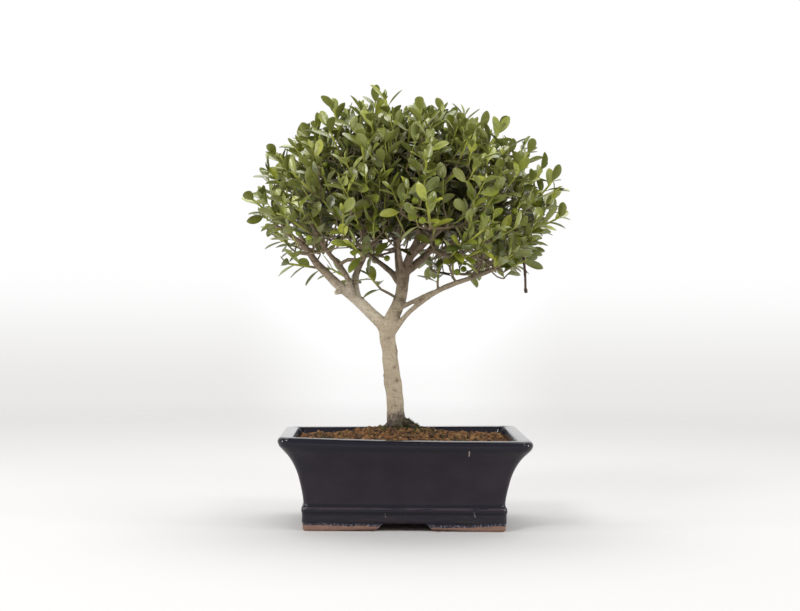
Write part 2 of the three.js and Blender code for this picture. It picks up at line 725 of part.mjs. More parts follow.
// A stem from a bud to a shoot that keeps clear of the others, or null
function clearStem(bud, shoot, index, room) {
  const random = seededRandom(STEM_SEED + index);
  for (let attempt = 0; attempt < STEM_ATTEMPTS; attempt += 1) {
    const foot = shoot.foot.clone().add(scatter(random, FOOT_SHIFT * attempt));
    const stem = stemTo(bud, { ...shoot, foot }, scatter(random, BOW_STEP * (attempt + 1)));
    if (bendsGently(stem.path, MOST_BEND) && stemIsClear(stem, room)) return stem;
  }
  return null;
}

// The stems grow in turn, the one with the shortest way to the wood first
function growStems(shoots, room) {
  let buds = Object.entries(LIMBS)
    .filter(([name]) => !BARE_LIMBS.includes(name))
    .flatMap(([, path]) => budsOn(path, 'wood'));
  const waiting = new Set(shoots.keys());
  const refused = new Set();
  const stems = [];
  while (waiting.size > 0) {
    let best = { cost: Infinity };
    for (const index of waiting) {
      buds.forEach((bud, number) => {
        const cost = budCost(bud, shoots[index].foot);
        if (cost < best.cost && !refused.has(`${index} ${number}`)) best = { cost, bud, number, index };
      });
    }
    const stem = clearStem(best.bud, shoots[best.index], best.index, room);
    if (stem) {
      stems[best.index] = stem;
      room.addPath(stem.path, best.index, stem.buried);
      buds = buds.concat(budsOn(stem.branch, best.index));
      waiting.delete(best.index);
    } else {
      refused.add(`${best.index} ${best.number}`);
    }
  }
  return stems;
}

// Leaf outline from its right foot to its left one: shares of length and half width, and rise
const LEAF_OUTLINE = [[0.36, -0.94, 1], [0.76, -0.84, 0.75], [1, 0, 0], [0.76, 0.84, 0.75], [0.36, 0.94, 1]];
const MIDRIB_SHARE = 0.56;

function leafPoint(leaf, forward, sideways, rise) {
  const lift = rise * LEAF_FOLD * leaf.width - LEAF_DROOP * leaf.length * forward * forward;
  return leaf.base.clone()
    .addScaledVector(leaf.heading, forward * leaf.length)
    .addScaledVector(leaf.side, (sideways * leaf.width) / 2)
    .addScaledVector(leaf.normal, lift);
}

// Seat corners in the order lower left, upper left, upper right, lower right of the leaf
function seatForLeaf(corners, leaf) {
  const wanted = [[1, -1], [1, 1], [-1, 1], [-1, -1]].map(([across, up]) => (
    leaf.side.clone().multiplyScalar(across).addScaledVector(leaf.normal, up)
  ));
  const fit = (shift) => wanted.reduce((sum, direction, i) => (
    sum + corners[(i + shift) % 4].clone().sub(leaf.base).dot(direction)
  ), 0);
  const shift = [0, 1, 2, 3].reduce((best, next) => (fit(next) > fit(best) ? next : best));
  return wanted.map((_, i) => (i + shift) % 4);
}

// Skin of a leaf: its points, of which the first four are the corners of its seat, and its faces
function leafSkin(corners, leaf) {
  const points = [...corners];
  const faces = [];
  const [lowerLeft, upperLeft, upperRight, lowerRight] = seatForLeaf(corners, leaf);
  const face = (offset, right, left) => {
    const first = points.length;
    const outline = LEAF_OUTLINE.map((place) => leafPoint(leaf, ...place));
    outline.push(leafPoint(leaf, MIDRIB_SHARE, 0, 0));
    points.push(...outline.map((point) => point.addScaledVector(leaf.normal, offset)));
    const loop = [right, ...LEAF_OUTLINE.map((_, i) => first + i), left];
    return { loop, middle: points.length - 1 };
  };
  const below = face(-LEAF_THICKNESS / 2, lowerRight, lowerLeft);
  const above = face(LEAF_THICKNESS / 2, upperRight, upperLeft);
  const count = above.loop.length;
  for (let i = 0; i < count; i += 1) {
    const next = (i + 1) % count;
    faces.push([above.middle, above.loop[i], above.loop[next]]);
    faces.push([below.middle, below.loop[next], below.loop[i]]);
    if (next > 0) {
      faces.push([below.loop[i], below.loop[next], above.loop[next]]);
      faces.push([below.loop[i], above.loop[next], above.loop[i]]);
    }
  }
  return { points, faces };
}

function trianglesOf({ points, faces }) {
  return faces.map((face) => {
    const corners = face.map((i) => points[i]);
    return { corners, box: new THREE.Box3().setFromPoints(corners) };
  });
}

// Whether an edge of one triangle passes through the other
function edgePierces(one, other) {
  const ray = new THREE.Ray();
  const hit = new THREE.Vector3();
  return one.corners.some((from, k) => {
    const to = one.corners[(k + 1) % 3];
    ray.origin.copy(from);
    ray.direction.copy(to).sub(from).normalize();
    return ray.intersectTriangle(...other.corners, false, hit) !== null
      && hit.distanceTo(from) < from.distanceTo(to);
  });
}

function skinsCross(ones, others) {
  return ones.some((one) => others.some((other) => (
    one.box.intersectsBox(other.box) && (edgePierces(one, other) || edgePierces(other, one))
  )));
}

// Whether the whole blade stays outside the face of the stem that it grows from
function standsOut(skin, place) {
  const outward = spoke(place.frame, place.angle);
  return skin.points.slice(4).every((point) => (
    point.clone().sub(place.base).dot(outward) > OWN_STEM_CLEARANCE
  ));
}

// Skin of a berry on its stalk: rings of four points, the last turned by an eighth, and a pointed end
function berrySkin(corners, { base, heading }) {
  const across = heading.clone().cross(UP).normalize();
  const upward = heading.clone().cross(across);
  const start = corners[0].clone().sub(base);
  const offset = Math.atan2(start.dot(upward), start.dot(across));
  const points = [...corners];
  const faces = [];
  let previous = [0, 1, 2, 3];
  for (const [distance, radius, turn] of BERRY_RINGS) {
    const first = points.length;
    for (let k = 0; k < 4; k += 1) {
      const angle = offset - turn + (k * Math.PI) / 2;
      points.push(base.clone()
        .addScaledVector(heading, distance)
        .addScaledVector(across, radius * Math.cos(angle))
        .addScaledVector(upward, radius * Math.sin(angle)));
    }
    const ring = [first, first + 1, first + 2, first + 3];
    for (let k = 0; k < 4; k += 1) {
      const next = (k + 1) % 4;
      faces.push([previous[k], previous[next], ring[next]], [previous[k], ring[next], ring[k]]);
    }
    previous = ring;
  }
  points.push(base.clone().addScaledVector(heading, BERRY_STALK + BERRY_HEIGHT * BERRY_RADIUS));
  previous.forEach((point, k) => faces.push([point, previous[(k + 1) % 4], points.length - 1]));
  return { points, faces };
}

// Shares of length and half width of the points that stand for a leaf when its room is measured
const LEAF_SAMPLES = [[0.34, 0.9], [0.52, 1], [0.7, 0.9], [0.87, 0.6]];

function leafSamples(leaf) {
  const samples = [[1, 0, 0]];
  for (const [forward, sideways] of LEAF_SAMPLES) {
    samples.push([forward, -sideways, 1], [forward, 0, 0], [forward, sideways, 1]);
  }
  return samples.map((sample) => leafPoint(leaf, ...sample));
}

function headingFrom(frame, angle, lean) {
  return frame.heading.clone().multiplyScalar(Math.cos(lean))
    .addScaledVector(spoke(frame, angle), Math.sin(lean));
}

function leafFrom({ base, frame, angle, share }, attempt, random) {
  const lean = mix(...LEAF_LEAN, share) + LEAN_JITTER * (random() - 0.5) + MORE_LEAN * attempt;
  const heading = headingFrom(frame, angle + TURN_JITTER * (random() - 0.5), lean);
  const light = frame.heading.clone().multiplyScalar(FACE_FORWARD).add(scatter(random, FACE_SCATTER));
  light.addScaledVector(UP, FACE_UP * (1 - attempt / ATTEMPTS));
  const normal = light.addScaledVector(heading, -light.dot(heading)).normalize();
  const length = LEAF_LENGTH * mix(...LENGTH_RANGE, random()) * mix(1, TIP_LEAF_SHARE, share);
  const width = LEAF_WIDTH * mix(...WIDTH_RANGE, random());
  return { base, heading, normal, side: normal.clone().cross(heading), length, width };
}

function leafFits(leaf, room, owner) {
  const margin = (other) => {
    if (other === owner) return -Infinity;
    if (other === `leaf ${owner}`) return OWN_LEAF_CLEARANCE;
    return typeof other === 'string' && other.startsWith('leaf') ? LEAF_CLEARANCE : STEM_CLEARANCE;
  };
  return leafSamples(leaf).every((point) => !room.crowded(point, margin));
}

// Leaf that keeps clear of everything, its own stem and the leaves beside it too, or null
function tryLeaf(place, room, owner, siblings, random) {
  for (let attempt = 0; attempt < ATTEMPTS; attempt += 1) {
    const leaf = leafFrom(place, attempt, random);
    const skin = leafSkin(place.corners, leaf);
    if (standsOut(skin, place) && leafFits(leaf, room, owner) && !skinsCross(trianglesOf(skin), siblings)) {
      leafSamples(leaf).forEach((point) => room.add(point, 0, `leaf ${owner}`));
      return skin;
    }
  }
  return null;
}

function tryBerry(place, room, owner, siblings, random) {
  const heading = headingFrom(place.frame, place.angle, mix(...BERRY_LEAN, random()));
  const middle = place.base.clone().addScaledVector(heading, BERRY_STALK + BERRY_RADIUS);
  const skin = berrySkin(place.corners, { base: place.base, heading });
  if (room.crowded(middle, () => BERRY_RADIUS + BERRY_CLEARANCE)) return null;
  if (skinsCross(trianglesOf(skin), siblings)) return null;
  room.add(middle, BERRY_RADIUS, `leaf ${owner}`);
  return skin;
}

// Leafy shoot as one skin, in which each leaf or berry grows out of a face of the stem
function spray(stem, leaves, index, room, bark) {
  const random = seededRandom(LEAF_SEED + index);
  const rings = ringsAlong(stem.path, STEM_SIDES);
  const points = rings.flatMap(({ ring }) => ring);
  const last = points.length - STEM_SIDES;
  const faces = [[0, 2, 1], [last, last + 1, last + 2]];
  const siblings = [];
  for (let i = 0; i + 1 < rings.length; i += 1) {
    const seatNumber = i - stem.branch.length;
    for (let k = 0; k < STEM_SIDES; k += 1) {
      const a = i * STEM_SIDES + k;
      const b = i * STEM_SIDES + ((k + 1) % STEM_SIDES);
      const seat = [a, b, b + STEM_SIDES, a + STEM_SIDES];
      const grows = seatNumber >= 0 && seatNumber % 2 === 0 && (seatNumber / 2) % STEM_SIDES === k;
      if (!grows || !growOn(seat, seatNumber / 2)) {
        faces.push([seat[0], seat[1], seat[2]], [seat[0], seat[2], seat[3]]);
      }
    }
  }
  return largestOf(solidFrom(geometryFrom(points, faces)).subtract(bark));

  function growOn(seat, number) {
    const ring = stem.branch.length + 2 * number;
    const corners = seat.map((i) => points[i]);
    const base = corners.reduce((sum, corner) => sum.add(corner), new THREE.Vector3()).divideScalar(4);
    const angle = stem.path[ring][4] + ((number % STEM_SIDES) + 0.5) * ((2 * Math.PI) / STEM_SIDES);
    const place = { base, corners, frame: rings[ring].frame, angle, share: number / (leaves - 1) };
    const grow = index % BERRY_EVERY === 0 && number === BERRY_SEAT ? tryBerry : tryLeaf;
    const skin = grow(place, room, index, siblings, random);
    if (!skin) return false;
    const numbers = [...seat, ...skin.points.slice(4).map((_, i) => points.length + i)];
    points.push(...skin.points.slice(4));
    skin.faces.forEach((face) => faces.push(face.map((i) => numbers[i])));
    siblings.push(...trianglesOf(skin));
    return true;
  }
}

// Wood and leaves

function sidesFor(path) {
  if (path === TRUNK) return TRUNK_SIDES;
  return LIMB_SIDES.find(([radius]) => path[0][3] > radius)[1];
}

function wood() {
  return union([
    tube(TRUNK, sidesFor(TRUNK)),
    ...ROOTS.map((path) => tube(path, ROOT_SIDES)),
    ...Object.values(LIMBS).map((path) => tube(path, sidesFor(path))),
  ]);
}

function material({ color, roughness, metalness }) {
  return new THREE.MeshStandardMaterial({ color, roughness, metalness });
}

function named(name, solid, look) {
  const mesh = new THREE.Mesh(geometryOf(solid), material(look));
  mesh.name = name;
  return mesh;
}

function allShoots() {
  const low = LOW_SHOOTS.map(({ foot, aim, length, leaves }) => (
    { foot: vector(foot), aim: vector(aim).normalize(), length, leaves }
  ));
  return [...crownShoots(), ...low].map((shoot, index) => {
    const bend = scatter(seededRandom(BEND_SEED + index), BEND_SCATTER).addScaledVector(UP, BEND_LIFT);
    return { ...shoot, bend, standsClear: CLEAR_FEET.includes(index) };
  });
}

function bonsai() {
  const shoots = allShoots();
  const room = new Room();
  [TRUNK, ...Object.values(LIMBS)].forEach((path) => room.addPath(path, 'wood'));
  const stems = growStems(shoots, room);
  const limbs = union([TRUNK, ...Object.values(LIMBS)].map((path) => clearTube(path, sidesFor(path))));
  const group = new THREE.Group();
  group.add(
    named('pot', bowl(), GLAZE),
    ...feet().map((foot) => named(footName(foot), foot, CLAY)),
    named('drain_screen_left', drainScreen(-DRAIN_OFFSET), PLASTIC),
    named('drain_screen_right', drainScreen(DRAIN_OFFSET), PLASTIC),
    named('soil', soil().subtract(rootHoles()), EARTH),
    named('wood', wood(), BARK),
  );
  stems.forEach((stem, index) => {
    const name = `spray_${String(index + 1).padStart(2, '0')}`;
    const bark = stem.owner === 'wood' ? limbs : clearTube(stems[stem.owner].path, STEM_SIDES);
    group.add(named(name, spray(stem, shoots[index].leaves, index, room, bark), LEAF_GREEN));
  });
  return group;
}

// The origin goes under the middle of the whole plant
function centred(model) {
  const middle = new THREE.Box3().setFromObject(model).getCenter(new THREE.Vector3());
  model.position.set(-middle.x, -middle.y, 0);
  const part = new THREE.Group();
  part.add(model);
  return part;
}

export default centred(bonsai());
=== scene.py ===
# Japanese holly bonsai in its glazed pot: the looks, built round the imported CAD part.
# Lengths are millimetres from the middle of the pot's base, and become metres when a mesh is made.

import math

import bmesh
import bpy
import numpy as np
from mathutils import Matrix, Vector, noise


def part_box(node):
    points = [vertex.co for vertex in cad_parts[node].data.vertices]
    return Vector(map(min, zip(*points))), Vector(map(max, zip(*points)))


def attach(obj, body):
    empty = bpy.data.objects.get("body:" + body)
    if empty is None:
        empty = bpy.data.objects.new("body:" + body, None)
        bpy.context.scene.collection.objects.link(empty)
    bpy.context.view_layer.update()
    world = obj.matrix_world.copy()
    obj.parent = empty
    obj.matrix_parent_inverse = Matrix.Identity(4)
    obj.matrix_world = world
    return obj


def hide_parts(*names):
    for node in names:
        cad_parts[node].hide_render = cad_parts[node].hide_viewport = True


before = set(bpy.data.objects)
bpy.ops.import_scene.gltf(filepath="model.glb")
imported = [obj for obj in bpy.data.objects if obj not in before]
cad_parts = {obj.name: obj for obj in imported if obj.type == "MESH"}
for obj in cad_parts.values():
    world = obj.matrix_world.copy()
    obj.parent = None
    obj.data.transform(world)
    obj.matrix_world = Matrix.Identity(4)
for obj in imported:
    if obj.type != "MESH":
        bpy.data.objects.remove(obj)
FEET = [f"foot_{depth}_{side}" for depth in ("front", "rear") for side in ("left", "right")]
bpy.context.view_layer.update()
POT_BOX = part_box("pot")
POT_CENTRE = np.array([(POT_BOX[0].x + POT_BOX[1].x) / 2, (POT_BOX[0].y + POT_BOX[1].y) / 2, 0.0])

# Camera, fitted to the corners of the pot in the photo
CAMERA_PLACE = (-36.0, -1293.5, 174.7)
CAMERA_YAW = 0.0249
CAMERA_PITCH = 0.003
CAMERA_ROLL = 0.0094
FOCAL_PIXELS = 1570
IMAGE_WIDTH = 800
SENSOR_WIDTH = 36
CAMERA_CLIP_END = 50

# Studio, in metres and watts
WORLD_LIGHT = 0.54
SOFTBOXES = {
    "softbox_left": ((-0.95, -1.35, 1.35), (0.5, 0.6), 15),
    "softbox_right": ((0.95, -1.45, 1.25), (0.45, 0.55), 6),
    "softbox_top": ((0.0, 0.42, 1.7), (1.3, 0.9), 14),
    "strip_left": ((-1.5, -0.5, 0.45), (0.2, 0.8), 9),
    "strip_right": ((1.5, -0.6, 0.45), (0.2, 0.8), 10),
}
LIGHT_TARGET = (0, 0, 0.2)
WORLD_COLOUR = (1.0, 0.99, 0.98, 1)
FLOOR = [(-6, -6, 0), (6, -6, 0), (6, 4, 0), (-6, 4, 0)]
# Floor colours near the camera and far off: the nearer is darker, painted shade against the front lamps.
FLOOR_NEAR = (0.66, 0.651, 0.645, 1)
FLOOR_FAR = (0.69, 0.681, 0.675, 1)
FLOOR_MELTS = (0.3, 1.9)
BACKDROP = [(-9, 4, -0.5), (9, 4, -0.5), (9, 4, 6), (-9, 4, 6)]
BACKDROP_LOW = (0.825, 0.812, 0.805, 1)

# Pot, as in the part
RIM_LENGTH = 200
RIM_WIDTH = 150
POT_FLOOR = 12
POT_HEIGHT = 74
FOOT_HEIGHT = 6.6
FOOT_BREADTH = 10
RIM_CORNER = 9
CORNER_TIGHTENING = 0.23
DRAIN_RADIUS = 8
DRAIN_OFFSET = 42
KILN_TWIST = 1.2
FRONT_RIM_SAG = 1.3
OUTER_WALL = [
    [0, 20.6], [1.6, 19.6], [6.0, 19.4], [7.0, 18.9], [13.4, 18.9], [15.2, 18.4], [18.4, 18.6],
    [20.8, 19.9], [26, 19.6], [34, 18.1], [42, 16.2], [48, 14.2], [54, 11.4], [59.5, 7.8],
    [64, 3.8], [66.8, 1.3], [69.6, 0.1], [71.6, 0.1], [73.2, 1.0], [74, 2.8],
]
INNER_WALL = [[74, 10.6], [72.4, 11.6], [62, 15.6], [50, 22], [34, 25.6], [POT_FLOOR, 27.6]]
LONG_ARCH = (17, 25.5)
SHORT_ARCH = (12, 19)
ARCH_SWELL = 4
ARCH_RISE = 1.4
FOOT_WARP = 1.7
FOOT_LEVEL_FROM = 72
FOOT_WARP_POWER = 1.5

# Fineness of the pot in the look
WALL_STEPS = 4
CORNER_STEPS = 10
SIDE_STEPS = 12
ARCH_STEPS = 12
DRAIN_SIDES = 32
SHARP_GLAZE = math.radians(42)

# Heights of a brown line of the glaze and of two lines of painted shade, and worn spots of the glaze, a spot
# as x, z and half its sizes
CREST_HEIGHT = 18.0
GROOVE_HEIGHT = 14.8
UNDER_RIM_HEIGHT = 65.2
CHIP = (48.3, 63.2, 0.9, 2.9)
SCUFFS = [(57.2, 13.6, 0.5, 2.8), (-13.4, 12.8, 0.45, 2.4)]

# Soil, as in the part
GAP = 0.35
SOIL_EDGE = 67.5
SOIL_MOUND = 10.5
MOUND_SPREAD = 34
SOIL_BUMP = 0.9

# Granules and moss, which only the look has
BED_RINGS = 34
BED_ROUGHNESS = 0.7
BED_GRAIN = 0.35
GRANULE_SEED = 11
GRANULE_TRIES = 5600
GRANULE_SMALLEST = 0.52
GRANULE_SPAN = 1.8
GRANULE_POWER = 3.8
ROUND_GRANULE = 1.5
GRANULE_STRETCH = (0.62, 1.15)
GRANULE_LIFT = (-0.2, 0.55)
TRUNK_CLEARANCE = 10
MOSS_SEED = 23
MOSS_TRIES = 3600
MOSS_FROM = 8
MOSS_SPREAD = 7
MOSS_SPECKS = 70
SPECK_TUFTS = 5
BARK_TUFTS = 1100
BARK_MOSS_TOP = 81
TUFT_WIDTH = (0.22, 0.4)
TUFT_HEIGHT = (1.0, 2.4)

# Crown and shoots, as in the part
CROWN_MIDDLE = np.array([0.0, 0.0, 258.0])
CROWN_DEPTH = 0.86
REACH_RIGHT = [[-34, 112], [-25, 125], [-12, 130], [0, 136], [12, 139], [25, 129], [40, 116],
               [55, 110], [72, 102], [90, 100]]
REACH_LEFT = [[-34, 98], [-25, 110], [-13, 127], [0, 135], [14, 134], [38, 119], [55, 114],
              [68, 111], [90, 102]]
SPRAY_COUNT = 44
TIP_SEED = 100
AZIMUTH_JITTER = 0.4
AIM_LIFT = 0.25
AIM_SCATTER = 0.16
REACH_JITTER = 4
LEAF_OVERHANG = 0.75
LOWEST_SINE = -0.47
HIGHEST_SINE = 0.985
GOLDEN_ANGLE = math.pi * (3 - math.sqrt(5))
SHOOT_LENGTH = 27
STEM_RADIUS = 1.1
STEM_TIP_RADIUS = 0.85
STEM_SIDES = 3
STEM_TAPER = 0.013
STEM_SHARE_OF_BUD = 0.8
CURVE_PULL = 0.32
LONG_STEM = 30
FORWARD_LEAN = 0.6
SHOOT_BEND = 0.14
BEND_SEED = 700
BEND_SCATTER = 0.5
BEND_LIFT = 0.4
LEAVES_PER_SHOOT = 7
LEAF_SEAT = 1.5
LEAF_LENGTH = 19
LEAF_WIDTH = 9.4
LEAF_THICKNESS = 0.7
LEAF_FOLD = 0.13
LEAF_DROOP = 0.1
LEAF_LEAN = (1.1, 0.42)
LEAN_JITTER = 0.4
TURN_JITTER = 0.9
MORE_LEAN = 0.03
FACE_FORWARD = 0.55
FACE_SCATTER = 0.3
FACE_UP = 0.7
LENGTH_RANGE = (0.84, 1.08)
WIDTH_RANGE = (0.9, 1.06)
TIP_LEAF_SHARE = 0.88
BERRY_RADIUS = 2.75
BERRY_STALK = 3.5
BERRY_EVERY = 3
BERRY_HEIGHT = 2.1
BERRY_RINGS = [(BERRY_STALK, 0.5, 0), (BERRY_STALK + 0.55 * BERRY_RADIUS, 0.95 * BERRY_RADIUS, 0),
               (BERRY_STALK + 1.4 * BERRY_RADIUS, 0.95 * BERRY_RADIUS, math.pi / 4)]
BERRY_LEAN = (1.35, 1.65)
BERRY_CLEARANCE = 0.8
LEAF_OUTLINE = [(0.36, -0.94, 1), (0.76, -0.84, 0.75), (1, 0, 0), (0.76, 0.84, 0.75), (0.36, 0.94, 1)]
MIDRIB_SHARE = 0.56
SAMPLES = [(1, 0, 0)] + [
    place for forward, sideways in [(0.34, 0.9), (0.52, 1), (0.7, 0.9), (0.87, 0.6)]
    for place in [(forward, -sideways, 1), (forward, 0, 0), (forward, sideways, 1)]
]

# Wood, as in the part: x, y, z and radius
TRUNK = [
    [-5.5, 4, 56, 5.2], [-5.5, 4, 68, 7.4], [-5.6, 4, 77, 9.0], [-5.8, 3.5, 83, 8.0], [-6.6, 3, 93, 7.2],
    [-7.6, 3, 103, 7.1], [-9.4, 2, 117, 7.2], [-11.2, 1, 132, 6.5], [-12.4, 0.5, 143, 6.4],
    [-14, 0, 154, 6.9], [-13.5, 0, 165, 6.4],
]
ROOTS = [
    [[-3, 2, 84, 4.4], [5, -1, 80.5, 3.8], [11, -3, 77.5, 2.8], [16, -5, 71, 2.0], [18, -6, 64, 1.5]],
    [[-8, 2, 84, 4.4], [-16, -1, 77, 3.6], [-22, -5, 71, 2.4], [-25, -7, 63, 1.6]],
    [[-6, 1, 83, 4.4], [-6, -8, 76, 3.6], [-3, -14, 70, 2.4], [-2, -17, 62, 1.6]],
    [[-5, 6, 83, 4.4], [-2, 14, 76, 3.4], [2, 20, 69, 2.2], [3, 23, 61, 1.5]],
]
LIMBS = {
    "left": [
        [-14, 0, 157, 6.0], [-20, 0, 165, 5.3], [-30, 0, 174, 4.8], [-38, -1, 182, 4.7], [-46, -2, 188, 4.3],
        [-55, -4, 195, 4.0], [-63, -6, 203, 3.6], [-73, -8, 213, 3.1], [-79, -10, 222, 2.7],
        [-86, -12, 229, 2.3], [-97, -14, 237, 1.8], [-106, -15, 242, 1.3]],
    "middle": [
        [-13, 0, 157, 6.3], [-10.5, 0, 168, 6.0], [-6, 0, 178, 5.6], [-3, 0, 188, 5.2], [-1, 0, 200, 4.6],
        [3, -1, 216, 3.8], [7, -2, 225, 3.3], [11, -3, 237, 2.6], [10, -4, 250, 2.0], [12, -3, 266, 1.6]],
    "right_low": [
        [-9, -2, 157, 3.4], [-4, -3, 164, 2.7], [4, -5, 173.5, 2.4], [17, -7, 184, 2.4], [27, -8, 191, 2.7],
        [38, -9, 196, 2.6], [46, -10, 199, 2.5], [58, -11, 203, 2.3], [68, -12, 207, 2.2],
        [78, -13, 211, 2.0], [87, -13, 214, 1.8], [94, -13, 219, 1.7], [98, -12, 227, 1.4]],
    "right_high": [[-6, -1, 175, 2.8], [1, -4, 179, 2.3], [17, -5.5, 187, 2.2], [28, -8, 191.5, 2.2]],
    "left_rising": [
        [-38, -1, 180, 3.6], [-40, 1, 190, 3.1], [-41, 2, 198, 2.9], [-39, 3, 208, 2.8], [-34, 4, 219, 2.6],
        [-33, 5, 226, 2.2], [-36, 6, 239, 1.9], [-39, 8, 254, 1.6], [-42, 9, 266, 1.3]],
    "left_rising_fan_left": [[-33, 5, 221, 2.0], [-45, 9, 227.5, 1.6], [-55, 13, 236, 1.2]],
    "left_rising_fan_right": [[-33, 5, 222, 2.2], [-27, 4, 228, 1.8], [-18, 2, 237, 1.6],
                              [-12, -1, 245, 1.4], [-9, -4, 254, 1.1]],
    "left_front": [
        [-43, -2, 186, 3.2], [-47, -7, 200, 2.5], [-54, -11, 211, 2.2], [-62, -15, 220, 2.0],
        [-69, -20, 230, 1.8], [-75, -25, 241, 1.6], [-80, -29, 251, 1.2]],
    "left_rear": [[-79, -9, 221, 2.3], [-85, 0, 233, 1.8], [-91, 11, 244, 1.5], [-97, 22, 259, 1.2]],
    "middle_rear": [[-2, 0, 199, 3.6], [-5, 8, 211, 3.0], [-6, 16, 223, 2.7], [-8, 25, 238, 2.2],
                    [-8, 34, 252, 1.7], [-6, 42, 267, 1.3]],
    "rear_left": [[-3, 1, 195, 3.2], [-10, 10, 205, 2.6], [-19, 21, 213, 2.3], [-29, 33, 221, 2.0],
                  [-40, 44, 232, 1.7], [-50, 54, 245, 1.3]],
    "rear_right": [[0, 0, 206, 3.8], [8, 6, 212, 3.5], [17, 13, 220, 3.2], [25, 20, 230, 2.7],
                   [32, 28, 242, 2.1], [38, 37, 255, 1.6]],
    "rear_right_spur": [[22, 17, 226, 2.4], [35, 24, 221, 2.0], [50, 32, 224, 1.7], [66, 39, 234, 1.3]],
    "front_right": [[4, -1, 218, 3.0], [15, -8, 229, 2.6], [25, -13, 238, 2.3], [34, -17, 245, 1.9]],
    "front_middle": [[-1, 0, 201, 2.6], [-4, -10, 214, 2.2], [-6, -22, 227, 1.9], [-7, -36, 240, 1.6],
                     [-6, -48, 254, 1.2]],
    "right_rising": [[56, -11, 202, 2.0], [62, -7, 214, 1.8], [66, -3, 228, 1.6], [72, 1, 243, 1.3]],
    "dead_twig": [[96, -12.5, 224, 1.1], [96.5, -16, 216, 1.0], [97.5, -17, 204, 0.9], [98, -17, 191, 0.8]],
    "pruned_knob": [[-50, -3, 192, 3.4], [-54, -7, 189.5, 2.4], [-57, -9, 188.5, 1.8]],
}
BARE_LIMBS = ("dead_twig", "pruned_knob", "right_high")
MOVED_TIPS = {0: (0, 0, 14), 2: (58, 12, 12), 5: (0, 0, 10)}
CLEAR_FEET = (20,)
LOW_SHOOTS = [
    ([26.5, -11.5, 198], [0.1, -0.35, 0.93], 9, 4),
    ([38.5, -12.5, 203], [0.05, -0.3, 0.95], 9, 3),
    ([-20, -10, 192], [-0.55, -0.38, 0.6], 15, 5),
]

# Knots and bud scars, which only the look has
KNOTS = [
    [[-9, -1, 141, 3.0], [-6.4, -2.8, 141, 1.9]], [[-8, -1, 117, 3.0], [-6.0, -4.0, 117, 1.9]],
    [[-12, 1, 121, 3.0], [-16.6, 0.0, 121, 1.4]],
    [[-14, -1, 152, 3.0], [-12.5, -6.0, 152.4, 1.5]], [[-10, 0, 170, 3.0], [-6, -4.8, 171, 1.5]],
    [[19, -7.4, 184.6, 1.6], [20.5, -8.8, 188.4, 1.3]], [[-36, -1, 181, 3.0], [-34.5, -4.6, 184.4, 1.5]],
    [[1, -1, 208, 3.0], [4.6, -3.4, 209.5, 1.5]],
    [[30.5, -11.5, 220, 1.6], [37.5, -12.8, 229.5, 1.5], [38.2, -13, 231.4, 1.3]],
    [[98, -17, 193, 1.5], [98.4, -17.2, 190.2, 1.7]], [[97.2, -16.6, 208, 1.3], [98.4, -17.4, 206.6, 1.2]],
]
# Dark scars on the bark: x, y, z and radius
SCARS = [
    (-5.8, -3.2, 143.5, 2.6), (-5.6, -2.2, 139.4, 2.4), (-5.6, -4.9, 117.2, 2.6), (-17.0, 0.2, 120.4, 2.4),
    (-12.5, -6.4, 151.4, 1.4), (-7.5, -6.0, 108.5, 1.8), (-7.2, -4.8, 96.5, 1.6), (-5.4, -4.6, 172.0, 2.6),
    (-8.0, -4.6, 128.0, 1.5), (-2.6, -4.8, 184.0, 2.6), (-34.4, -5.0, 184.6, 2.0), (-52.0, -5.0, 191.0, 2.2),
]

# Thickness in the look of the two near parallel branches on the right
SLIM_LIMBS = {"right_low": 0.85, "right_high": 0.82, "dead_twig": 1.35}
SLIM_ROOTS = (0.95, 0.6, 0.85, 1)

# Tubes of the wood, and the skin that melts them into one, whose sizes are metres
TRUNK_SIDES = 28
ROOT_SIDES = 14
LIMB_SIDES = 16
KNOT_SIDES = 12
LIMB_STEPS = 5
LIMB_LUMPS = 0.1
LUMP_GRAIN = 0.11
LEAST_RADIUS = 0.3
END_BULGE = 0.45
END_RADIUS = 0.6
WOOD_VOXEL = 0.00075
WOOD_SOFTENING = 0.5
WOOD_SOFTENINGS = 5
BARK_GRAIN = 210
BARK_ROUGHNESS = 0.00016

# Room kept free of fill shoots, so that the middle stem and the dead twig stay in view:
# first point, last point and radius
CLEAR_VIEWS = [((0, -18, 188), (-2, -84, 190), 14), ((2, -20, 207), (2, -84, 209), 14),
               ((97, -22, 190), (94, -66, 191), 8), ((96, -24, 203), (93, -66, 204), 8)]

# Search for free room, as in the part
CUBE = 8
PATH_STEP = 1.6
ATTEMPTS = 16
STEM_CLEARANCE = 1.6
LEAF_CLEARANCE = 3.1
OWN_LEAF_CLEARANCE = 2.2
OWN_STEM_CLEARANCE = 1.3
STEM_ATTEMPTS = 12
STEM_SPACING = 0.7
COLLAR = 1
NEAR_BUD = 7
FOOT_STRETCH = 3.5
MOST_SLANT = 0.72
MOST_BEND = 0.87
STEM_SEED = 900
FOOT_SHIFT = 1.1
BOW_STEP = 0.08
DOWNHILL_COST = 0.8
DOWNHILL_MARGIN = 5
BERRY_SEAT = 1
LEAF_SEED = 500
AIM_SOURCE = np.array([0.0, 0.0, 222.0])
UP = np.array([0.0, 0.0, 1.0])
WOOD = -1
LEAF_OWNER = 1000

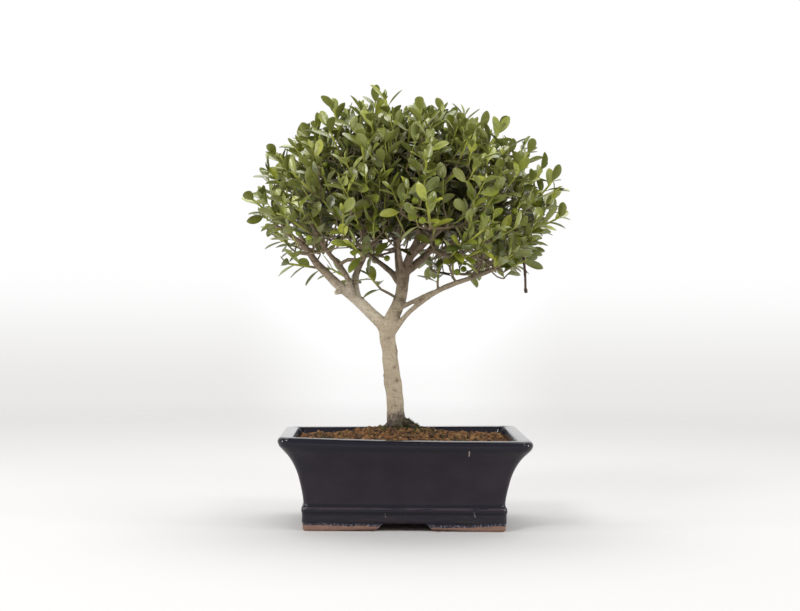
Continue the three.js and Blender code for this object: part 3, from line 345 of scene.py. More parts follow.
# Fill shoots, which only the look has: count, share of the crown's reach, lowest and highest sine, leaf grid
FILL_LAYERS = [(190, 0.97, -0.36, 0.99, 0), (190, 0.84, -0.24, 0.98, 0), (170, 0.69, -0.12, 0.97, 1),
               (120, 0.53, 0.0, 0.95, 1), (70, 0.37, 0.1, 0.95, 1)]
FILL_LIFT = 0.6
FILL_AIM_SCATTER = 0.4
FILL_FACE_SCATTER = 0.75
FILL_SIZES = (0.66, 1.06)
FILL_TOP_DROP = 0.07
FILL_TOP_FROM = 0.6
FILL_LAYER_TURN = 1.1
FILL_AZIMUTH_JITTER = 0.7
FILL_REACH = (0.92, 1.0)
FILL_LEAST_LEAVES = 4
FILL_MORE_LEAVES = 4
FILL_LEAF_SPACING = 3.6
FILL_LOW_EDGE = [[-130, 252], [-110, 242], [-92, 236], [-76, 237], [-62, 244], [-20, 250], [4, 250],
                 [16, 238], [30, 215], [60, 208], [105, 210], [125, 226]]
CROWN_TIP_LEAVES = (7.0, 11.0)
FILL_SEED = 3000
FILL_LEAF_CLEARANCE = 1.5
FILL_STEM_CLEARANCE = 0.8
FILL_BERRY_SHARE = 0.05
FILL_BERRY_SEATS = 3
FILL_BUDS = 6
FILL_ATTEMPTS = 4
FILL_BOW = 0.2
FILL_MOST_BEND = 1.1
FILL_STEM_SPACING = 0.25
FILL_STEM_RADIUS = 0.62
FILL_TIP_RADIUS = 0.4

# Leaves, twigs and berries of the look: a leaf grid is shares of its length and of half its width
LEAF_GRIDS = [
    ([0.0, 0.07, 0.15, 0.26, 0.42, 0.58, 0.74, 0.88, 0.965, 1.0], [-1.0, -0.5, 0.0, 0.5, 1.0]),
    ([0.0, 0.1, 0.26, 0.5, 0.76, 0.94, 1.0], [-1.0, 0.0, 1.0]),
]
LOOK_SEED = 7
LOOK_WIDTH = 0.82
STALK_SHARE = 0.06
BLADE_PEAK = 0.3553
TIP_LEAF_WIDTH = 0.44
SHADED_FROM = (0.82, 0.46)
SHARP_LEAF = 1.2
TWIG_SIDES = 6
TWIG_STEPS = 2
TWIG_LUMPS = 0.08
BERRY_SIDES = 12
BERRY_ROUND_STEPS = 10


# Vectors and random numbers

def seeded_random(seed):
    state = seed

    def draw():
        nonlocal state
        state = (state * 1664525 + 1013904223) % 4294967296
        return state / 4294967296

    for _ in range(3):
        draw()
    return draw


def vec(values):
    return np.array(values[:3], float)


def mix(a, b, share):
    return a + (b - a) * share


def unit(v):
    return v / math.sqrt(v @ v)


def length(v):
    return math.sqrt(v @ v)


def cross(a, b):
    return np.array([a[1] * b[2] - a[2] * b[1], a[2] * b[0] - a[0] * b[2], a[0] * b[1] - a[1] * b[0]])


def along(pairs, x):
    return float(np.interp(x, [p[0] for p in pairs], [p[1] for p in pairs]))


def scatter(draw, size):
    x = draw() - 0.5
    y = draw() - 0.5
    z = draw() - 0.5
    return np.array([x, y, z]) * 2 * size


# Stems and leaves, grown as in the part

def heading_at(points, i):
    heading = np.zeros(3)
    if i > 0:
        heading = heading + unit(points[i] - points[i - 1])
    if i + 1 < len(points):
        heading = heading + unit(points[i + 1] - points[i])
    return unit(heading)


def turned(v, before, after):
    """v turned by the smallest turn that takes one direction to another."""
    axis = cross(before, after)
    return v + cross(axis, v) + cross(axis, cross(axis, v)) / (1 + before @ after)


def frames_along(path):
    points = [vec(p) for p in path]
    frames = []
    normal = tangent = None
    for i in range(len(points)):
        heading = heading_at(points, i)
        if i == 0:
            normal = unit(np.array([0.0, 1.0, 0.0]) - heading * heading[1])
        else:
            normal = turned(normal, tangent, heading)
            normal = unit(normal - heading * (normal @ heading))
        tangent = heading
        frames.append((heading, normal, cross(heading, normal)))
    return frames


def spoke(frame_, angle):
    return frame_[1] * math.cos(angle) + frame_[2] * math.sin(angle)


class Room:
    """Room taken up by what is already placed, as balls sorted into cubes of space."""

    def __init__(self):
        self.cubes = {}

    def add(self, point, radius, owner):
        key = tuple(math.floor(c / CUBE) for c in point)
        self.cubes.setdefault(key, []).append((point[0], point[1], point[2], radius, owner))

    def crowded(self, point, margin):
        px, py, pz = (float(c) for c in point)
        cx, cy, cz = (math.floor(c / CUBE) for c in (px, py, pz))
        for x in (cx - 1, cx, cx + 1):
            for y in (cy - 1, cy, cy + 1):
                for z in (cz - 1, cz, cz + 1):
                    for bx, by, bz, radius, owner in self.cubes.get((x, y, z), ()):
                        reach = radius + margin(owner)
                        if reach > 0 and (bx - px) ** 2 + (by - py) ** 2 + (bz - pz) ** 2 < reach * reach:
                            return True
        return False

    def add_path(self, path, owner, buried=0.0):
        start = vec(path[0])
        for point, radius in path_points(path):
            if length(point - start) >= buried:
                self.add(point, radius, owner)


def path_points(path):
    found = []
    for a, b in zip(path, path[1:]):
        start, end = vec(a), vec(b)
        steps = math.ceil(length(end - start) / PATH_STEP)
        for step in range(steps):
            found.append((mix(start, end, step / steps), mix(a[3], b[3], step / steps)))
    return found


def crown_point(azimuth, sine, scale=1.0):
    elevation = math.degrees(math.asin(sine))
    reach = mix(along(REACH_LEFT, elevation), along(REACH_RIGHT, elevation), (1 + math.cos(azimuth)) / 2)
    cosine = math.sqrt(1 - sine * sine)
    outward = np.array([cosine * math.cos(azimuth), CROWN_DEPTH * cosine * math.sin(azimuth), sine])
    return outward * reach * scale + CROWN_MIDDLE


def all_shoots():
    shoots = []
    for index in range(SPRAY_COUNT):
        draw = seeded_random(TIP_SEED + index)
        sine = mix(LOWEST_SINE, HIGHEST_SINE, (index + 0.5) / SPRAY_COUNT)
        tip = crown_point(index * GOLDEN_ANGLE + AZIMUTH_JITTER * (draw() - 0.5), sine)
        tip = tip + np.array(MOVED_TIPS.get(index, (0, 0, 0)), float)
        aim = unit(tip - AIM_SOURCE)
        aim[2] += AIM_LIFT
        aim = unit(aim + scatter(draw, AIM_SCATTER))
        reach = SHOOT_LENGTH + LEAF_OVERHANG * LEAF_LENGTH + REACH_JITTER * draw()
        shoots.append({"foot": tip - aim * reach, "aim": aim, "length": SHOOT_LENGTH,
                       "leaves": LEAVES_PER_SHOOT})
    for foot, aim, size, leaves in LOW_SHOOTS:
        shoots.append({"foot": vec(foot), "aim": unit(vec(aim)), "length": size, "leaves": leaves})
    for index, shoot in enumerate(shoots):
        shoot["bend"] = scatter(seeded_random(BEND_SEED + index), BEND_SCATTER) + UP * BEND_LIFT
        shoot["clear"] = index in CLEAR_FEET
        shoot["radii"] = (STEM_RADIUS, STEM_TIP_RADIUS)
    return shoots


def buds_on(path, owner):
    buds = []
    for a, b in zip(path, path[1:]):
        heading = unit(vec(b) - vec(a))
        for share in (0.5, 1):
            buds.append({"point": mix(vec(a), vec(b), share), "heading": heading, "owner": owner,
                         "radius": mix(a[3], b[3], share)})
    return buds


def costs_to(bud_points, foot):
    drop = np.maximum(0, bud_points[:, 2] - foot[2] + DOWNHILL_MARGIN)
    return np.sqrt(((bud_points - foot) ** 2).sum(1)) + DOWNHILL_COST * drop


def shoot_rings(shoot):
    rings = []
    for i in range(shoot["leaves"]):
        share = i / (shoot["leaves"] - 1)
        turn = i * (GOLDEN_ANGLE - 2 * math.pi / STEM_SIDES)
        at = shoot["foot"] + shoot["aim"] * shoot["length"] * share
        at = at + shoot["bend"] * SHOOT_BEND * shoot["length"] * share * share
        for half in (-0.5, 0.5):
            point = at + shoot["aim"] * half * LEAF_SEAT
            rings.append([*point, mix(*shoot["radii"], share), turn])
    return rings


def bezier(t, a, b, c, d):
    return (1 - t) ** 3 * a + 3 * (1 - t) ** 2 * t * b + 3 * (1 - t) * t * t * c + t ** 3 * d


def stem_to(bud, shoot, bow):
    leave = unit(unit(shoot["foot"] - bud["point"]) + bud["heading"] * FORWARD_LEAN + bow)
    slant = leave @ bud["heading"]
    if abs(slant) > MOST_SLANT:
        leave = unit(leave - bud["heading"] * slant) * math.sqrt(1 - MOST_SLANT ** 2)
        leave = leave + bud["heading"] * math.copysign(MOST_SLANT, slant)
    cosine = leave @ bud["heading"]
    slope = math.sqrt(1 - cosine * cosine)
    span = length(bud["point"] - shoot["foot"])
    radius = shoot["radii"][0]
    thick = min(STEM_SHARE_OF_BUD * bud["radius"], radius + STEM_TAPER * span)
    clear = (bud["radius"] + GAP + thick * abs(cosine)) / slope
    start = bud["point"] + leave * (clear if shoot["clear"] else 0)
    p1 = start + leave * CURVE_PULL * span
    p2 = shoot["foot"] - shoot["aim"] * CURVE_PULL * span
    steps = 3 if span > LONG_STEM else 2
    branch = []
    for step in range(steps):
        share = step / steps
        branch.append([*bezier(share, start, p1, p2, shoot["foot"]), mix(thick, radius, share)])
    return {"branch": branch, "path": branch + shoot_rings(shoot), "owner": bud["owner"],
            "buried": 0.0 if shoot["clear"] else bud["radius"] / slope, "shoot": shoot}


def bends_gently(path, most):
    stretches = [vec(b) - vec(a) for a, b in zip(path, path[1:])]
    for a, b in zip(stretches, stretches[1:]):
        if math.acos(max(-1, min(1, a @ b / math.sqrt((a @ a) * (b @ b))))) >= most:
            return False
    return True


def stem_is_clear(stem, room, spacing):
    start = vec(stem["path"][0])
    for point, radius in path_points(stem["path"]):
        away = length(point - start) - stem["buried"]
        if away < 0:
            continue
        beside = -math.inf if away < COLLAR else GAP + radius * min(1, away / FOOT_STRETCH)

        def margin(owner):
            return beside if owner == stem["owner"] and away < NEAR_BUD else radius + spacing

        if room.crowded(point, margin):
            return False
    return True


def clear_stem(bud, shoot, index, room):
    draw = seeded_random(STEM_SEED + index)
    for attempt in range(STEM_ATTEMPTS):
        foot = shoot["foot"] + scatter(draw, FOOT_SHIFT * attempt)
        stem = stem_to(bud, {**shoot, "foot": foot}, scatter(draw, BOW_STEP * (attempt + 1)))
        if bends_gently(stem["path"], MOST_BEND) and stem_is_clear(stem, room, STEM_SPACING):
            return stem
    return None


def grow_stems(shoots, room):
    buds = [b for name, path in LIMBS.items() if name not in BARE_LIMBS for b in buds_on(path, WOOD)]
    waiting = list(range(len(shoots)))
    refused = set()
    stems = [None] * len(shoots)
    while waiting:
        points = np.array([b["point"] for b in buds])
        costs = np.array([costs_to(points, shoots[i]["foot"]) for i in waiting])
        for index, number in refused:
            if index in waiting:
                costs[waiting.index(index), number] = np.inf
        row, number = np.unravel_index(np.argmin(costs), costs.shape)
        index = waiting[row]
        stem = clear_stem(buds[number], shoots[index], index, room)
        if stem is None:
            refused.add((index, int(number)))
            continue
        stems[index] = stem
        room.add_path(stem["path"], index, stem["buried"])
        buds += buds_on(stem["branch"], index)
        waiting.remove(index)
    return stems, buds


def heading_from(frame_, angle, lean):
    return frame_[0] * math.cos(lean) + spoke(frame_, angle) * math.sin(lean)


def leaf_from(place, attempt, draw):
    base, frame_, angle, share = place["base"], place["frame"], place["angle"], place["share"]
    lean = mix(*LEAF_LEAN, share) + LEAN_JITTER * (draw() - 0.5) + MORE_LEAN * attempt
    heading = heading_from(frame_, angle + TURN_JITTER * (draw() - 0.5), lean)
    light = frame_[0] * FACE_FORWARD + scatter(draw, place["faces"])
    light = light + UP * FACE_UP * (1 - attempt / ATTEMPTS)
    normal = unit(light - heading * (light @ heading))
    size = LEAF_LENGTH * mix(*place["sizes"], draw()) * mix(1, TIP_LEAF_SHARE, share)
    width = LEAF_WIDTH * mix(*WIDTH_RANGE, draw())
    return {"base": base, "heading": heading, "normal": normal, "side": cross(normal, heading),
            "length": size, "width": width}


def leaf_points(leaf, places):
    forward, sideways, rise = np.array(places, float).T
    lift = rise * LEAF_FOLD * leaf["width"] - LEAF_DROOP * leaf["length"] * forward * forward
    return (leaf["base"] + np.outer(forward * leaf["length"], leaf["heading"])
            + np.outer(sideways * leaf["width"] / 2, leaf["side"]) + np.outer(lift, leaf["normal"]))


def leaf_skin(corners, leaf):
    """Points and faces of the part's faceted leaf, for the tests that place it."""
    ways = [(1, -1), (1, 1), (-1, 1), (-1, -1)]
    wanted = [leaf["side"] * across + leaf["normal"] * up for across, up in ways]
    fits = [sum((corners[(i + shift) % 4] - leaf["base"]) @ wanted[i] for i in range(4))
            for shift in range(4)]
    shift = int(np.argmax(fits))
    lower_left, upper_left, upper_right, lower_right = [(i + shift) % 4 for i in range(4)]
    middle_surface = leaf_points(leaf, LEAF_OUTLINE + [(MIDRIB_SHARE, 0, 0)])
    count = len(LEAF_OUTLINE)
    below = middle_surface - leaf["normal"] * LEAF_THICKNESS / 2
    above = middle_surface + leaf["normal"] * LEAF_THICKNESS / 2
    points = np.vstack([corners, below, above])
    low = [lower_right, *range(4, 4 + count), lower_left]
    high = [upper_right, *range(5 + count, 5 + 2 * count), upper_left]
    faces = []
    for i in range(len(low)):
        n = (i + 1) % len(low)
        faces.append([5 + 2 * count, high[i], high[n]])
        faces.append([4 + count, low[n], low[i]])
        if n > 0:
            faces += [[low[i], low[n], high[n]], [low[i], high[n], high[i]]]
    return points, points[np.array(faces)]


def edges_pierce(ones, others):
    """Whether an edge of the first triangles passes through one of the others."""
    start = ones.reshape(-1, 3)
    step = np.roll(ones, -1, axis=1).reshape(-1, 3) - start
    a, e1, e2 = others[:, 0], others[:, 1] - others[:, 0], others[:, 2] - others[:, 0]
    p = np.cross(step[:, None], e2[None])
    det = (e1[None] * p).sum(-1)
    with np.errstate(divide="ignore", invalid="ignore"):
        gap = start[:, None] - a[None]
        u = (gap * p).sum(-1) / det
        q = np.cross(gap, e1[None])
        v = (step[:, None] * q).sum(-1) / det
        t = (e2[None] * q).sum(-1) / det
    return bool(((np.abs(det) > 1e-12) & (u >= 0) & (v >= 0) & (u + v <= 1) & (t >= 0) & (t < 1)).any())


def skins_cross(skin, siblings):
    low, high = skin.min((0, 1)), skin.max((0, 1))
    for other in siblings:
        if (other.min((0, 1)) > high).any() or (other.max((0, 1)) < low).any():
            continue
        if edges_pierce(skin, other) or edges_pierce(other, skin):
            return True
    return False


def leaf_fits(leaf, room, owner, leaf_clearance, stem_clearance):
    own = LEAF_OWNER + owner

    def margin(other):
        if other == owner:
            return -math.inf
        if other == own:
            return OWN_LEAF_CLEARANCE
        return leaf_clearance if other >= LEAF_OWNER else stem_clearance

    return not any(room.crowded(point, margin) for point in leaf_points(leaf, SAMPLES))


def try_leaf(place, room, owner, siblings, draw, clearances):
    outward = spoke(place["frame"], place["angle"])
    for attempt in range(ATTEMPTS):
        leaf = leaf_from(place, attempt, draw)
        points, skin = leaf_skin(place["corners"], leaf)
        if not ((points[4:] - place["base"]) @ outward > OWN_STEM_CLEARANCE).all():
            continue
        if leaf_fits(leaf, room, owner, *clearances) and not skins_cross(skin, siblings):
            for point in leaf_points(leaf, SAMPLES):
                room.add(point, 0, LEAF_OWNER + owner)
            siblings.append(skin)
            return leaf
    return None


def berry_skin(corners, base, heading):
    """Faces of the part's faceted berry, for the test against its leaves."""
    across = unit(cross(heading, UP))
    upward = cross(heading, across)
    start = corners[0] - base
    offset = math.atan2(start @ upward, start @ across)
    rings = [corners]
    for distance, radius, turn in BERRY_RINGS:
        angles = [offset - turn + k * math.pi / 2 for k in range(4)]
        rings.append(np.array([base + heading * distance + across * radius * math.cos(a)
                               + upward * radius * math.sin(a) for a in angles]))
    faces = []
    for low, high in zip(rings, rings[1:]):
        for k in range(4):
            n = (k + 1) % 4
            faces += [[low[k], low[n], high[n]], [low[k], high[n], high[k]]]
    tip = base + heading * (BERRY_STALK + BERRY_HEIGHT * BERRY_RADIUS)
    faces += [[rings[-1][k], rings[-1][(k + 1) % 4], tip] for k in range(4)]
    return np.array(faces)


def try_berry(place, room, owner, siblings, draw):
    heading = heading_from(place["frame"], place["angle"], mix(*BERRY_LEAN, draw()))
    middle = place["base"] + heading * (BERRY_STALK + BERRY_RADIUS)
    skin = berry_skin(place["corners"], place["base"], heading)
    if room.crowded(middle, lambda _: BERRY_RADIUS + BERRY_CLEARANCE) or skins_cross(skin, siblings):
        return None
    room.add(middle, BERRY_RADIUS, LEAF_OWNER + owner)
    siblings.append(skin)
    return {"base": place["base"], "heading": heading}


def grow_spray(stem, owner, room, draw, clearances, bears):
    """Leaves and berries of one shoot; bears(number, draw) says which seat holds a berry."""
    frames = frames_along(stem["path"])
    leaves, berries, siblings = [], [], []
    count = stem["shoot"]["leaves"]
    for number in range(count):
        ring = len(stem["branch"]) + 2 * number
        side = number % STEM_SIDES
        corners = []
        for at, k in [(ring, side), (ring, side + 1), (ring + 1, side + 1), (ring + 1, side)]:
            x, y, z, radius, turn = stem["path"][at]
            angle = turn + 2 * math.pi * (k % STEM_SIDES) / STEM_SIDES
            corners.append(np.array([x, y, z]) + spoke(frames[at], angle) * radius)
        corners = np.array(corners)
        angle = stem["path"][ring][4] + (side + 0.5) * 2 * math.pi / STEM_SIDES
        place = {"base": corners.mean(0), "corners": corners, "frame": frames[ring], "angle": angle,
                 "share": number / (count - 1), "faces": stem["shoot"].get("faces", FACE_SCATTER),
                 "sizes": stem["shoot"].get("sizes", LENGTH_RANGE)}
        if bears(number, draw):
            berry = try_berry(place, room, owner, siblings, draw)
            if berry:
                berries.append(berry)
            continue
        leaf = try_leaf(place, room, owner, siblings, draw, clearances)
        if leaf:
            leaf["young"] = place["share"]
            leaf["grid"] = stem["shoot"].get("grid", 0)
            leaves.append(leaf)
    return leaves, berries


def fill_shoots():
    shoots = []
    for layer, (count, scale, low, high, grid) in enumerate(FILL_LAYERS):
        for i in range(count):
            draw = seeded_random(FILL_SEED + 1000 * layer + i)
            sine = mix(low, high, (i + 0.5) / count)
            azimuth = (i + 0.5) * GOLDEN_ANGLE + FILL_LAYER_TURN * layer
            azimuth += FILL_AZIMUTH_JITTER * (draw() - 0.5)
            shrink = 1 - FILL_TOP_DROP * max(0, (sine - FILL_TOP_FROM) / (1 - FILL_TOP_FROM))
            tip = crown_point(azimuth, sine, scale * shrink * mix(*FILL_REACH, draw()))
            if tip[2] < along(FILL_LOW_EDGE, tip[0]):
                continue
            aim = unit(tip - AIM_SOURCE)
            aim[2] += FILL_LIFT
            aim = unit(aim + scatter(draw, FILL_AIM_SCATTER))
            leaves = FILL_LEAST_LEAVES + int(FILL_MORE_LEAVES * draw())
            size = FILL_LEAF_SPACING * leaves
            shoots.append({"foot": tip - aim * (size + LEAF_OVERHANG * LEAF_LENGTH), "aim": aim,
                           "length": size, "leaves": leaves, "clear": False,
                           "bend": scatter(draw, BEND_SCATTER) + UP * BEND_LIFT,
                           "radii": (FILL_STEM_RADIUS, FILL_TIP_RADIUS), "draw": draw,
                           "faces": FILL_FACE_SCATTER, "sizes": FILL_SIZES, "grid": grid})
    return shoots


def fill_stem(shoot, buds, room):
    """The first stem from a near bud that bends gently and has room."""
    draw = shoot["draw"]
    points = np.array([b["point"] for b in buds])
    for number in np.argsort(costs_to(points, shoot["foot"]))[:FILL_BUDS]:
        for attempt in range(FILL_ATTEMPTS):
            foot = shoot["foot"] + scatter(draw, FOOT_SHIFT * attempt)
            stem = stem_to(buds[number], {**shoot, "foot": foot}, scatter(draw, FILL_BOW))
            if bends_gently(stem["path"], FILL_MOST_BEND) and stem_is_clear(stem, room, FILL_STEM_SPACING):
                return stem
    return None


def bears_fill_berry(number, draw):
    return number < FILL_BERRY_SEATS and draw() < FILL_BERRY_SHARE


def grow_fill(room, buds, first_owner):
    """Small shoots between the part's own, each from a near bud, where there is room."""
    grown = []
    for owner, shoot in enumerate(fill_shoots(), first_owner):
        stem = fill_stem(shoot, buds, room)
        if stem is None:
            continue
        room.add_path(stem["path"], owner, stem["buried"])
        buds += buds_on(stem["branch"], owner)
        clearances = (FILL_LEAF_CLEARANCE, FILL_STEM_CLEARANCE)
        leaves, berries = grow_spray(stem, owner, room, shoot["draw"], clearances, bears_fill_berry)
        grown.append((stem, leaves, berries))
    return grown


# Meshes

def make_object(name, points, faces, material, attributes=None, sharp=None, smooth=True):
    """Mesh from millimetres in the pot's frame; attributes are name: (domain, values)."""
    mesh = bpy.data.meshes.new(name)
    metres = np.asarray(points, float) / 1000 + POT_CENTRE
    mesh.from_pydata(metres.tolist(), [], [tuple(int(i) for i in f) for f in faces])
    for key, (domain, values) in (attributes or {}).items():
        layer = mesh.attributes.new(key, "FLOAT", domain)
        layer.data.foreach_set("value", np.asarray(values, np.float32))
    mesh.polygons.foreach_set("use_smooth", [smooth] * len(mesh.polygons))
    if sharp is not None:
        mesh.set_sharp_from_angle(angle=sharp)
    mesh.materials.append(material)
    obj = bpy.data.objects.new(name, mesh)
    bpy.context.scene.collection.objects.link(obj)
    return obj


def loft_faces(rings, count, first=0):
    """Quads between rings of points and a face at either end."""
    faces = []
    for ring in range(rings - 1):
        for i in range(count):
            a = first + ring * count + i
            b = first + ring * count + (i + 1) % count
            faces.append((a, b, b + count, a + count))
    last = first + (rings - 1) * count
    faces.append(tuple(first + i for i in reversed(range(count))))
    faces.append(tuple(last + i for i in range(count)))
    return faces


def smooth_line(rows, steps):
    """Catmull-Rom curve through rows of numbers."""
    rows = np.array(rows, float)
    padded = np.vstack([2 * rows[0] - rows[1], rows, 2 * rows[-1] - rows[-2]])
    curve = []
    for i in range(1, len(padded) - 2):
        a, b, c, d = padded[i - 1:i + 3]
        for step in range(steps):
            t = step / steps
            curve.append(0.5 * (2 * b + (c - a) * t + (2 * a - 5 * b + 4 * c - d) * t * t
                                + (3 * b - a - 3 * c + d) * t ** 3))
    curve.append(rows[-1])
    return np.array(curve)


def tube_mesh(path, sides, steps, first=0, lumps=0.0, seed=0.0):
    """Rounded tube through x, y, z, radius rows: points, faces and the share along it of each point."""
    line = smooth_line([p[:4] for p in path], steps)
    frames = frames_along(line)
    centre, radius = line[:, :3], np.maximum(line[:, 3], LEAST_RADIUS)
    start, end = frames[0][0], frames[-1][0]
    rings = [(centre[0] - start * radius[0] * END_BULGE, frames[0], radius[0] * END_RADIUS)]
    rings += [(c, f, r) for c, f, r in zip(centre, frames, radius)]
    rings.append((centre[-1] + end * radius[-1] * END_BULGE, frames[-1], radius[-1] * END_RADIUS))
    points, shares = [], []
    for at, (middle, frame_, size) in enumerate(rings):
        for k in range(sides):
            angle = 2 * math.pi * k / sides
            swell = 1.0
            if lumps:
                spot = (middle + spoke(frame_, angle) * size) * LUMP_GRAIN
                swell += lumps * noise.noise(Vector(spot.tolist()) + Vector((seed, 0, 0)))
            points.append(middle + spoke(frame_, angle) * size * swell)
            shares.append(at / (len(rings) - 1))
    return points, loft_faces(len(rings), sides, first), shares


# Materials

def srgb(r, g, b):
    def linear(c):
        c /= 255
        return c / 12.92 if c <= 0.04045 else ((c + 0.055) / 1.055) ** 2.4
    return (linear(r), linear(g), linear(b), 1.0)


class Value:
    """A number or colour that a material's nodes work out. Sums with it add nodes."""

    def __init__(self, paint, socket):
        self.paint = paint
        self.socket = socket

    def math(self, kind, other=0.0, clamp=False):
        return self.paint.add("Math", 0, {0: self, 1: other}, operation=kind, use_clamp=clamp)

    def __add__(self, other):
        return self.math("ADD", other)

    def __sub__(self, other):
        return self.math("SUBTRACT", other)

    def __mul__(self, other):
        return self.math("MULTIPLY", other)

    def size(self):
        return self.math("ABSOLUTE")

    def ranged(self, low, high, to_low=0.0, to_high=1.0):
        """A soft step from to_low, where this is low, to to_high, where it is high."""
        limits = {"From Min": low, "From Max": high, "To Min": to_low, "To Max": to_high}
        inputs = {"Value": self, **limits}
        return self.paint.add("MapRange", "Result", inputs, interpolation_type="SMOOTHSTEP")


class Paint:
    """A new material. Its inputs take Values, numbers, and colours as sRGB triples or linear RGBA."""

    def __init__(self, name, shader="BsdfPrincipled"):
        self.material = bpy.data.materials.new(name)
        self.material.use_nodes = True
        self.tree = self.material.node_tree
        self.tree.nodes.clear()
        self.places = {}
        self.out = self.tree.nodes.new("ShaderNodeOutputMaterial")
        self.shader = self.tree.nodes.new("ShaderNode" + shader)
        self.tree.links.new(self.shader.outputs[0], self.out.inputs["Surface"])

    def feed(self, socket, value):
        if isinstance(value, Value):
            self.tree.links.new(value.socket, socket)
        else:
            is_srgb = isinstance(value, tuple) and len(value) == 3
            socket.default_value = srgb(*value) if is_srgb else value

    def set(self, values):
        for key, value in values.items():
            self.feed(self.shader.inputs[key], value)

    def add(self, kind, output, inputs, **settings):
        """A new node with these settings and inputs; returns one of its outputs."""
        made = self.tree.nodes.new("ShaderNode" + kind)
        for key, value in settings.items():
            setattr(made, key, value)
        for key, value in inputs.items():
            self.feed(made.inputs[key], value)
        return Value(self, made.outputs[output])

    def blend(self, share, a, b):
        return self.add("Mix", "Result", {"Factor": share, "A": a, "B": b}, data_type="RGBA")

    def place(self, stretch=(1, 1, 1)):
        """The object's own coordinates in millimetres, stretched."""
        if stretch not in self.places:
            scale = [1000 * s for s in stretch]
            own = self.add("TexCoord", "Object", {})
            self.places[stretch] = self.add("Mapping", "Vector", {"Vector": own, "Scale": scale})
        return self.places[stretch]

    def axes(self):
        parts = self.add("SeparateXYZ", 0, {0: self.place()}).socket.node.outputs
        return [Value(self, part) for part in parts]

    def noise(self, scale, detail=4.0, roughness=0.55, stretch=(1, 1, 1)):
        grain = {"Scale": scale, "Detail": detail, "Roughness": roughness}
        return self.add("TexNoise", "Fac", {"Vector": self.place(stretch), **grain})

    def spots(self, scale, stretch=(1, 1, 1)):
        return self.add("TexVoronoi", "Distance", {"Vector": self.place(stretch), "Scale": scale})

    def mark(self, name):
        return self.add("Attribute", "Fac", {}, attribute_name=name)

    def bump(self, height, strength, distance):
        relief = {"Height": height, "Strength": strength, "Distance": distance}
        self.set({"Normal": self.add("Bump", "Normal", relief)})


def oval_mark(across, y, z, oval):
    """1 within an upright oval on the front wall, 0 outside it. oval is x, z and half its sizes."""
    middle, height, half_wide, half_high = oval
    u = (across - middle).math("DIVIDE", half_wide)
    v = (z - height).math("DIVIDE", half_high)
    return (u * u + v * v).ranged(1.0, 0.5) * y.ranged(-40, -45)


def bare_height(x, y):
    """How high the bare clay reaches: a narrow band outside, all over inside the foot."""
    x = x - 1000 * POT_CENTRE[0]
    y = y - 1000 * POT_CENTRE[1]
    inside = x.size().ranged(78.2, 77.4) * y.size().ranged(53.2, 52.4)
    band = x.ranged(-70, 30, 4.7, 3.4) + x.ranged(48, 76, 0.0, 1.5)
    return band + inside * 12.0


def line_at(z, height, half_line):
    """1 along a level line round the pot, 0 away from it."""
    return (z - height).size().ranged(half_line, 0.35 * half_line)


def glaze_colour(paint, z, cloud, glossy_painted_dark_bands):
    """Navy, painted darker as painted shade on the rim roll, on the band round the foot, and in lines at the
    groove and under the rim lip; it breaks to brown on the crest above the foot.
    """
    streaks = paint.noise(0.22, 4, stretch=(0.3, 0.3, 2.5))
    glaze = paint.blend(cloud.ranged(0.35, 0.7), (23, 16, 27), (31, 23, 36))
    # Painted shade: the rim roll and the band round the foot are painted a darker navy.
    glaze = paint.blend(glossy_painted_dark_bands * 0.8, glaze, (9, 8, 24))
    crest = line_at(z, CREST_HEIGHT, 1.3) * streaks.ranged(0.35, 0.6)
    glaze = paint.blend(crest * 0.6, glaze, (70, 58, 66))
    # Painted shade: near black lines at the groove height and under the rim lip.
    painted_shade_lines = line_at(z, GROOVE_HEIGHT, 1.3).math("MAXIMUM", line_at(z, UNDER_RIM_HEIGHT, 1.6))
    glaze = paint.blend(painted_shade_lines * 0.85, glaze, (4, 3, 9))
    apron = z.ranged(13.4, 12) * streaks.ranged(0.4, 0.65)
    return paint.blend(apron * 0.5, glaze, (44, 35, 36))


def glaze_wear(paint, x, y, z):
    """Share of bare body that shows in a chip and in two leaning scuffs on the front."""
    chip = oval_mark(x, y, z, CHIP) * paint.noise(1.1, 2).ranged(0.42, 0.5)
    first, second = [oval_mark(x + z * 0.22, y, z, oval) for oval in SCUFFS]
    scuffs = first.math("ADD", second, clamp=True) * paint.noise(1.4, 2).ranged(0.4, 0.55)
    return (chip * 0.75).math("ADD", scuffs * 0.35, clamp=True)


def glaze_material():
    """Near black navy glaze over terracotta, which shows bare at the foot under a pale broken edge."""
    paint = Paint("navy_glaze")
    x, y, z = paint.axes()
    cloud = paint.noise(0.05, 3)
    fine = paint.noise(0.9, 5, 0.6)
    # Rim roll and band round the foot: glossier, and painted darker as painted shade.
    glossy_painted_dark_bands = z.ranged(62, 66).math("ADD", z.ranged(24, 20), clamp=True)
    glaze = paint.blend(glaze_wear(paint, x, y, z), glaze_colour(paint, z, cloud, glossy_painted_dark_bands), (176, 158, 150))
    wavy = (paint.noise(0.16, 4) - 0.5) * 2.6
    line = z + wavy - bare_height(x, y)
    bare = line.ranged(0.3, -0.3)
    pale = line.ranged(-0.3, 0.5) * line.ranged(2.4, 0.7) * paint.noise(0.7, 5, 0.7).ranged(0.5, 0.62)
    clay = paint.blend(paint.noise(0.4, 5), (99, 72, 59), (145, 114, 99))
    clay = paint.blend(fine.ranged(0.6, 0.72) * 0.6, clay, (92, 68, 58))
    colour = paint.blend(bare, paint.blend(pale * 0.75, glaze, (150, 154, 172)), clay)
    rough = glossy_painted_dark_bands * -0.13 + 0.32 - z.ranged(72.2, 73.4, 0.0, 0.08) + (fine - 0.5) * 0.05
    rough = rough.math("ADD", bare * 0.6, clamp=True)
    paint.set({"Base Color": colour, "Roughness": rough, "Specular IOR Level": 0.4})
    pits = paint.spots(0.22).ranged(0.0, 0.09, 1.0, 0.0)
    paint.bump(cloud * 1.4 - pits + fine * 0.03, 0.35, 0.0006)
    return paint.material


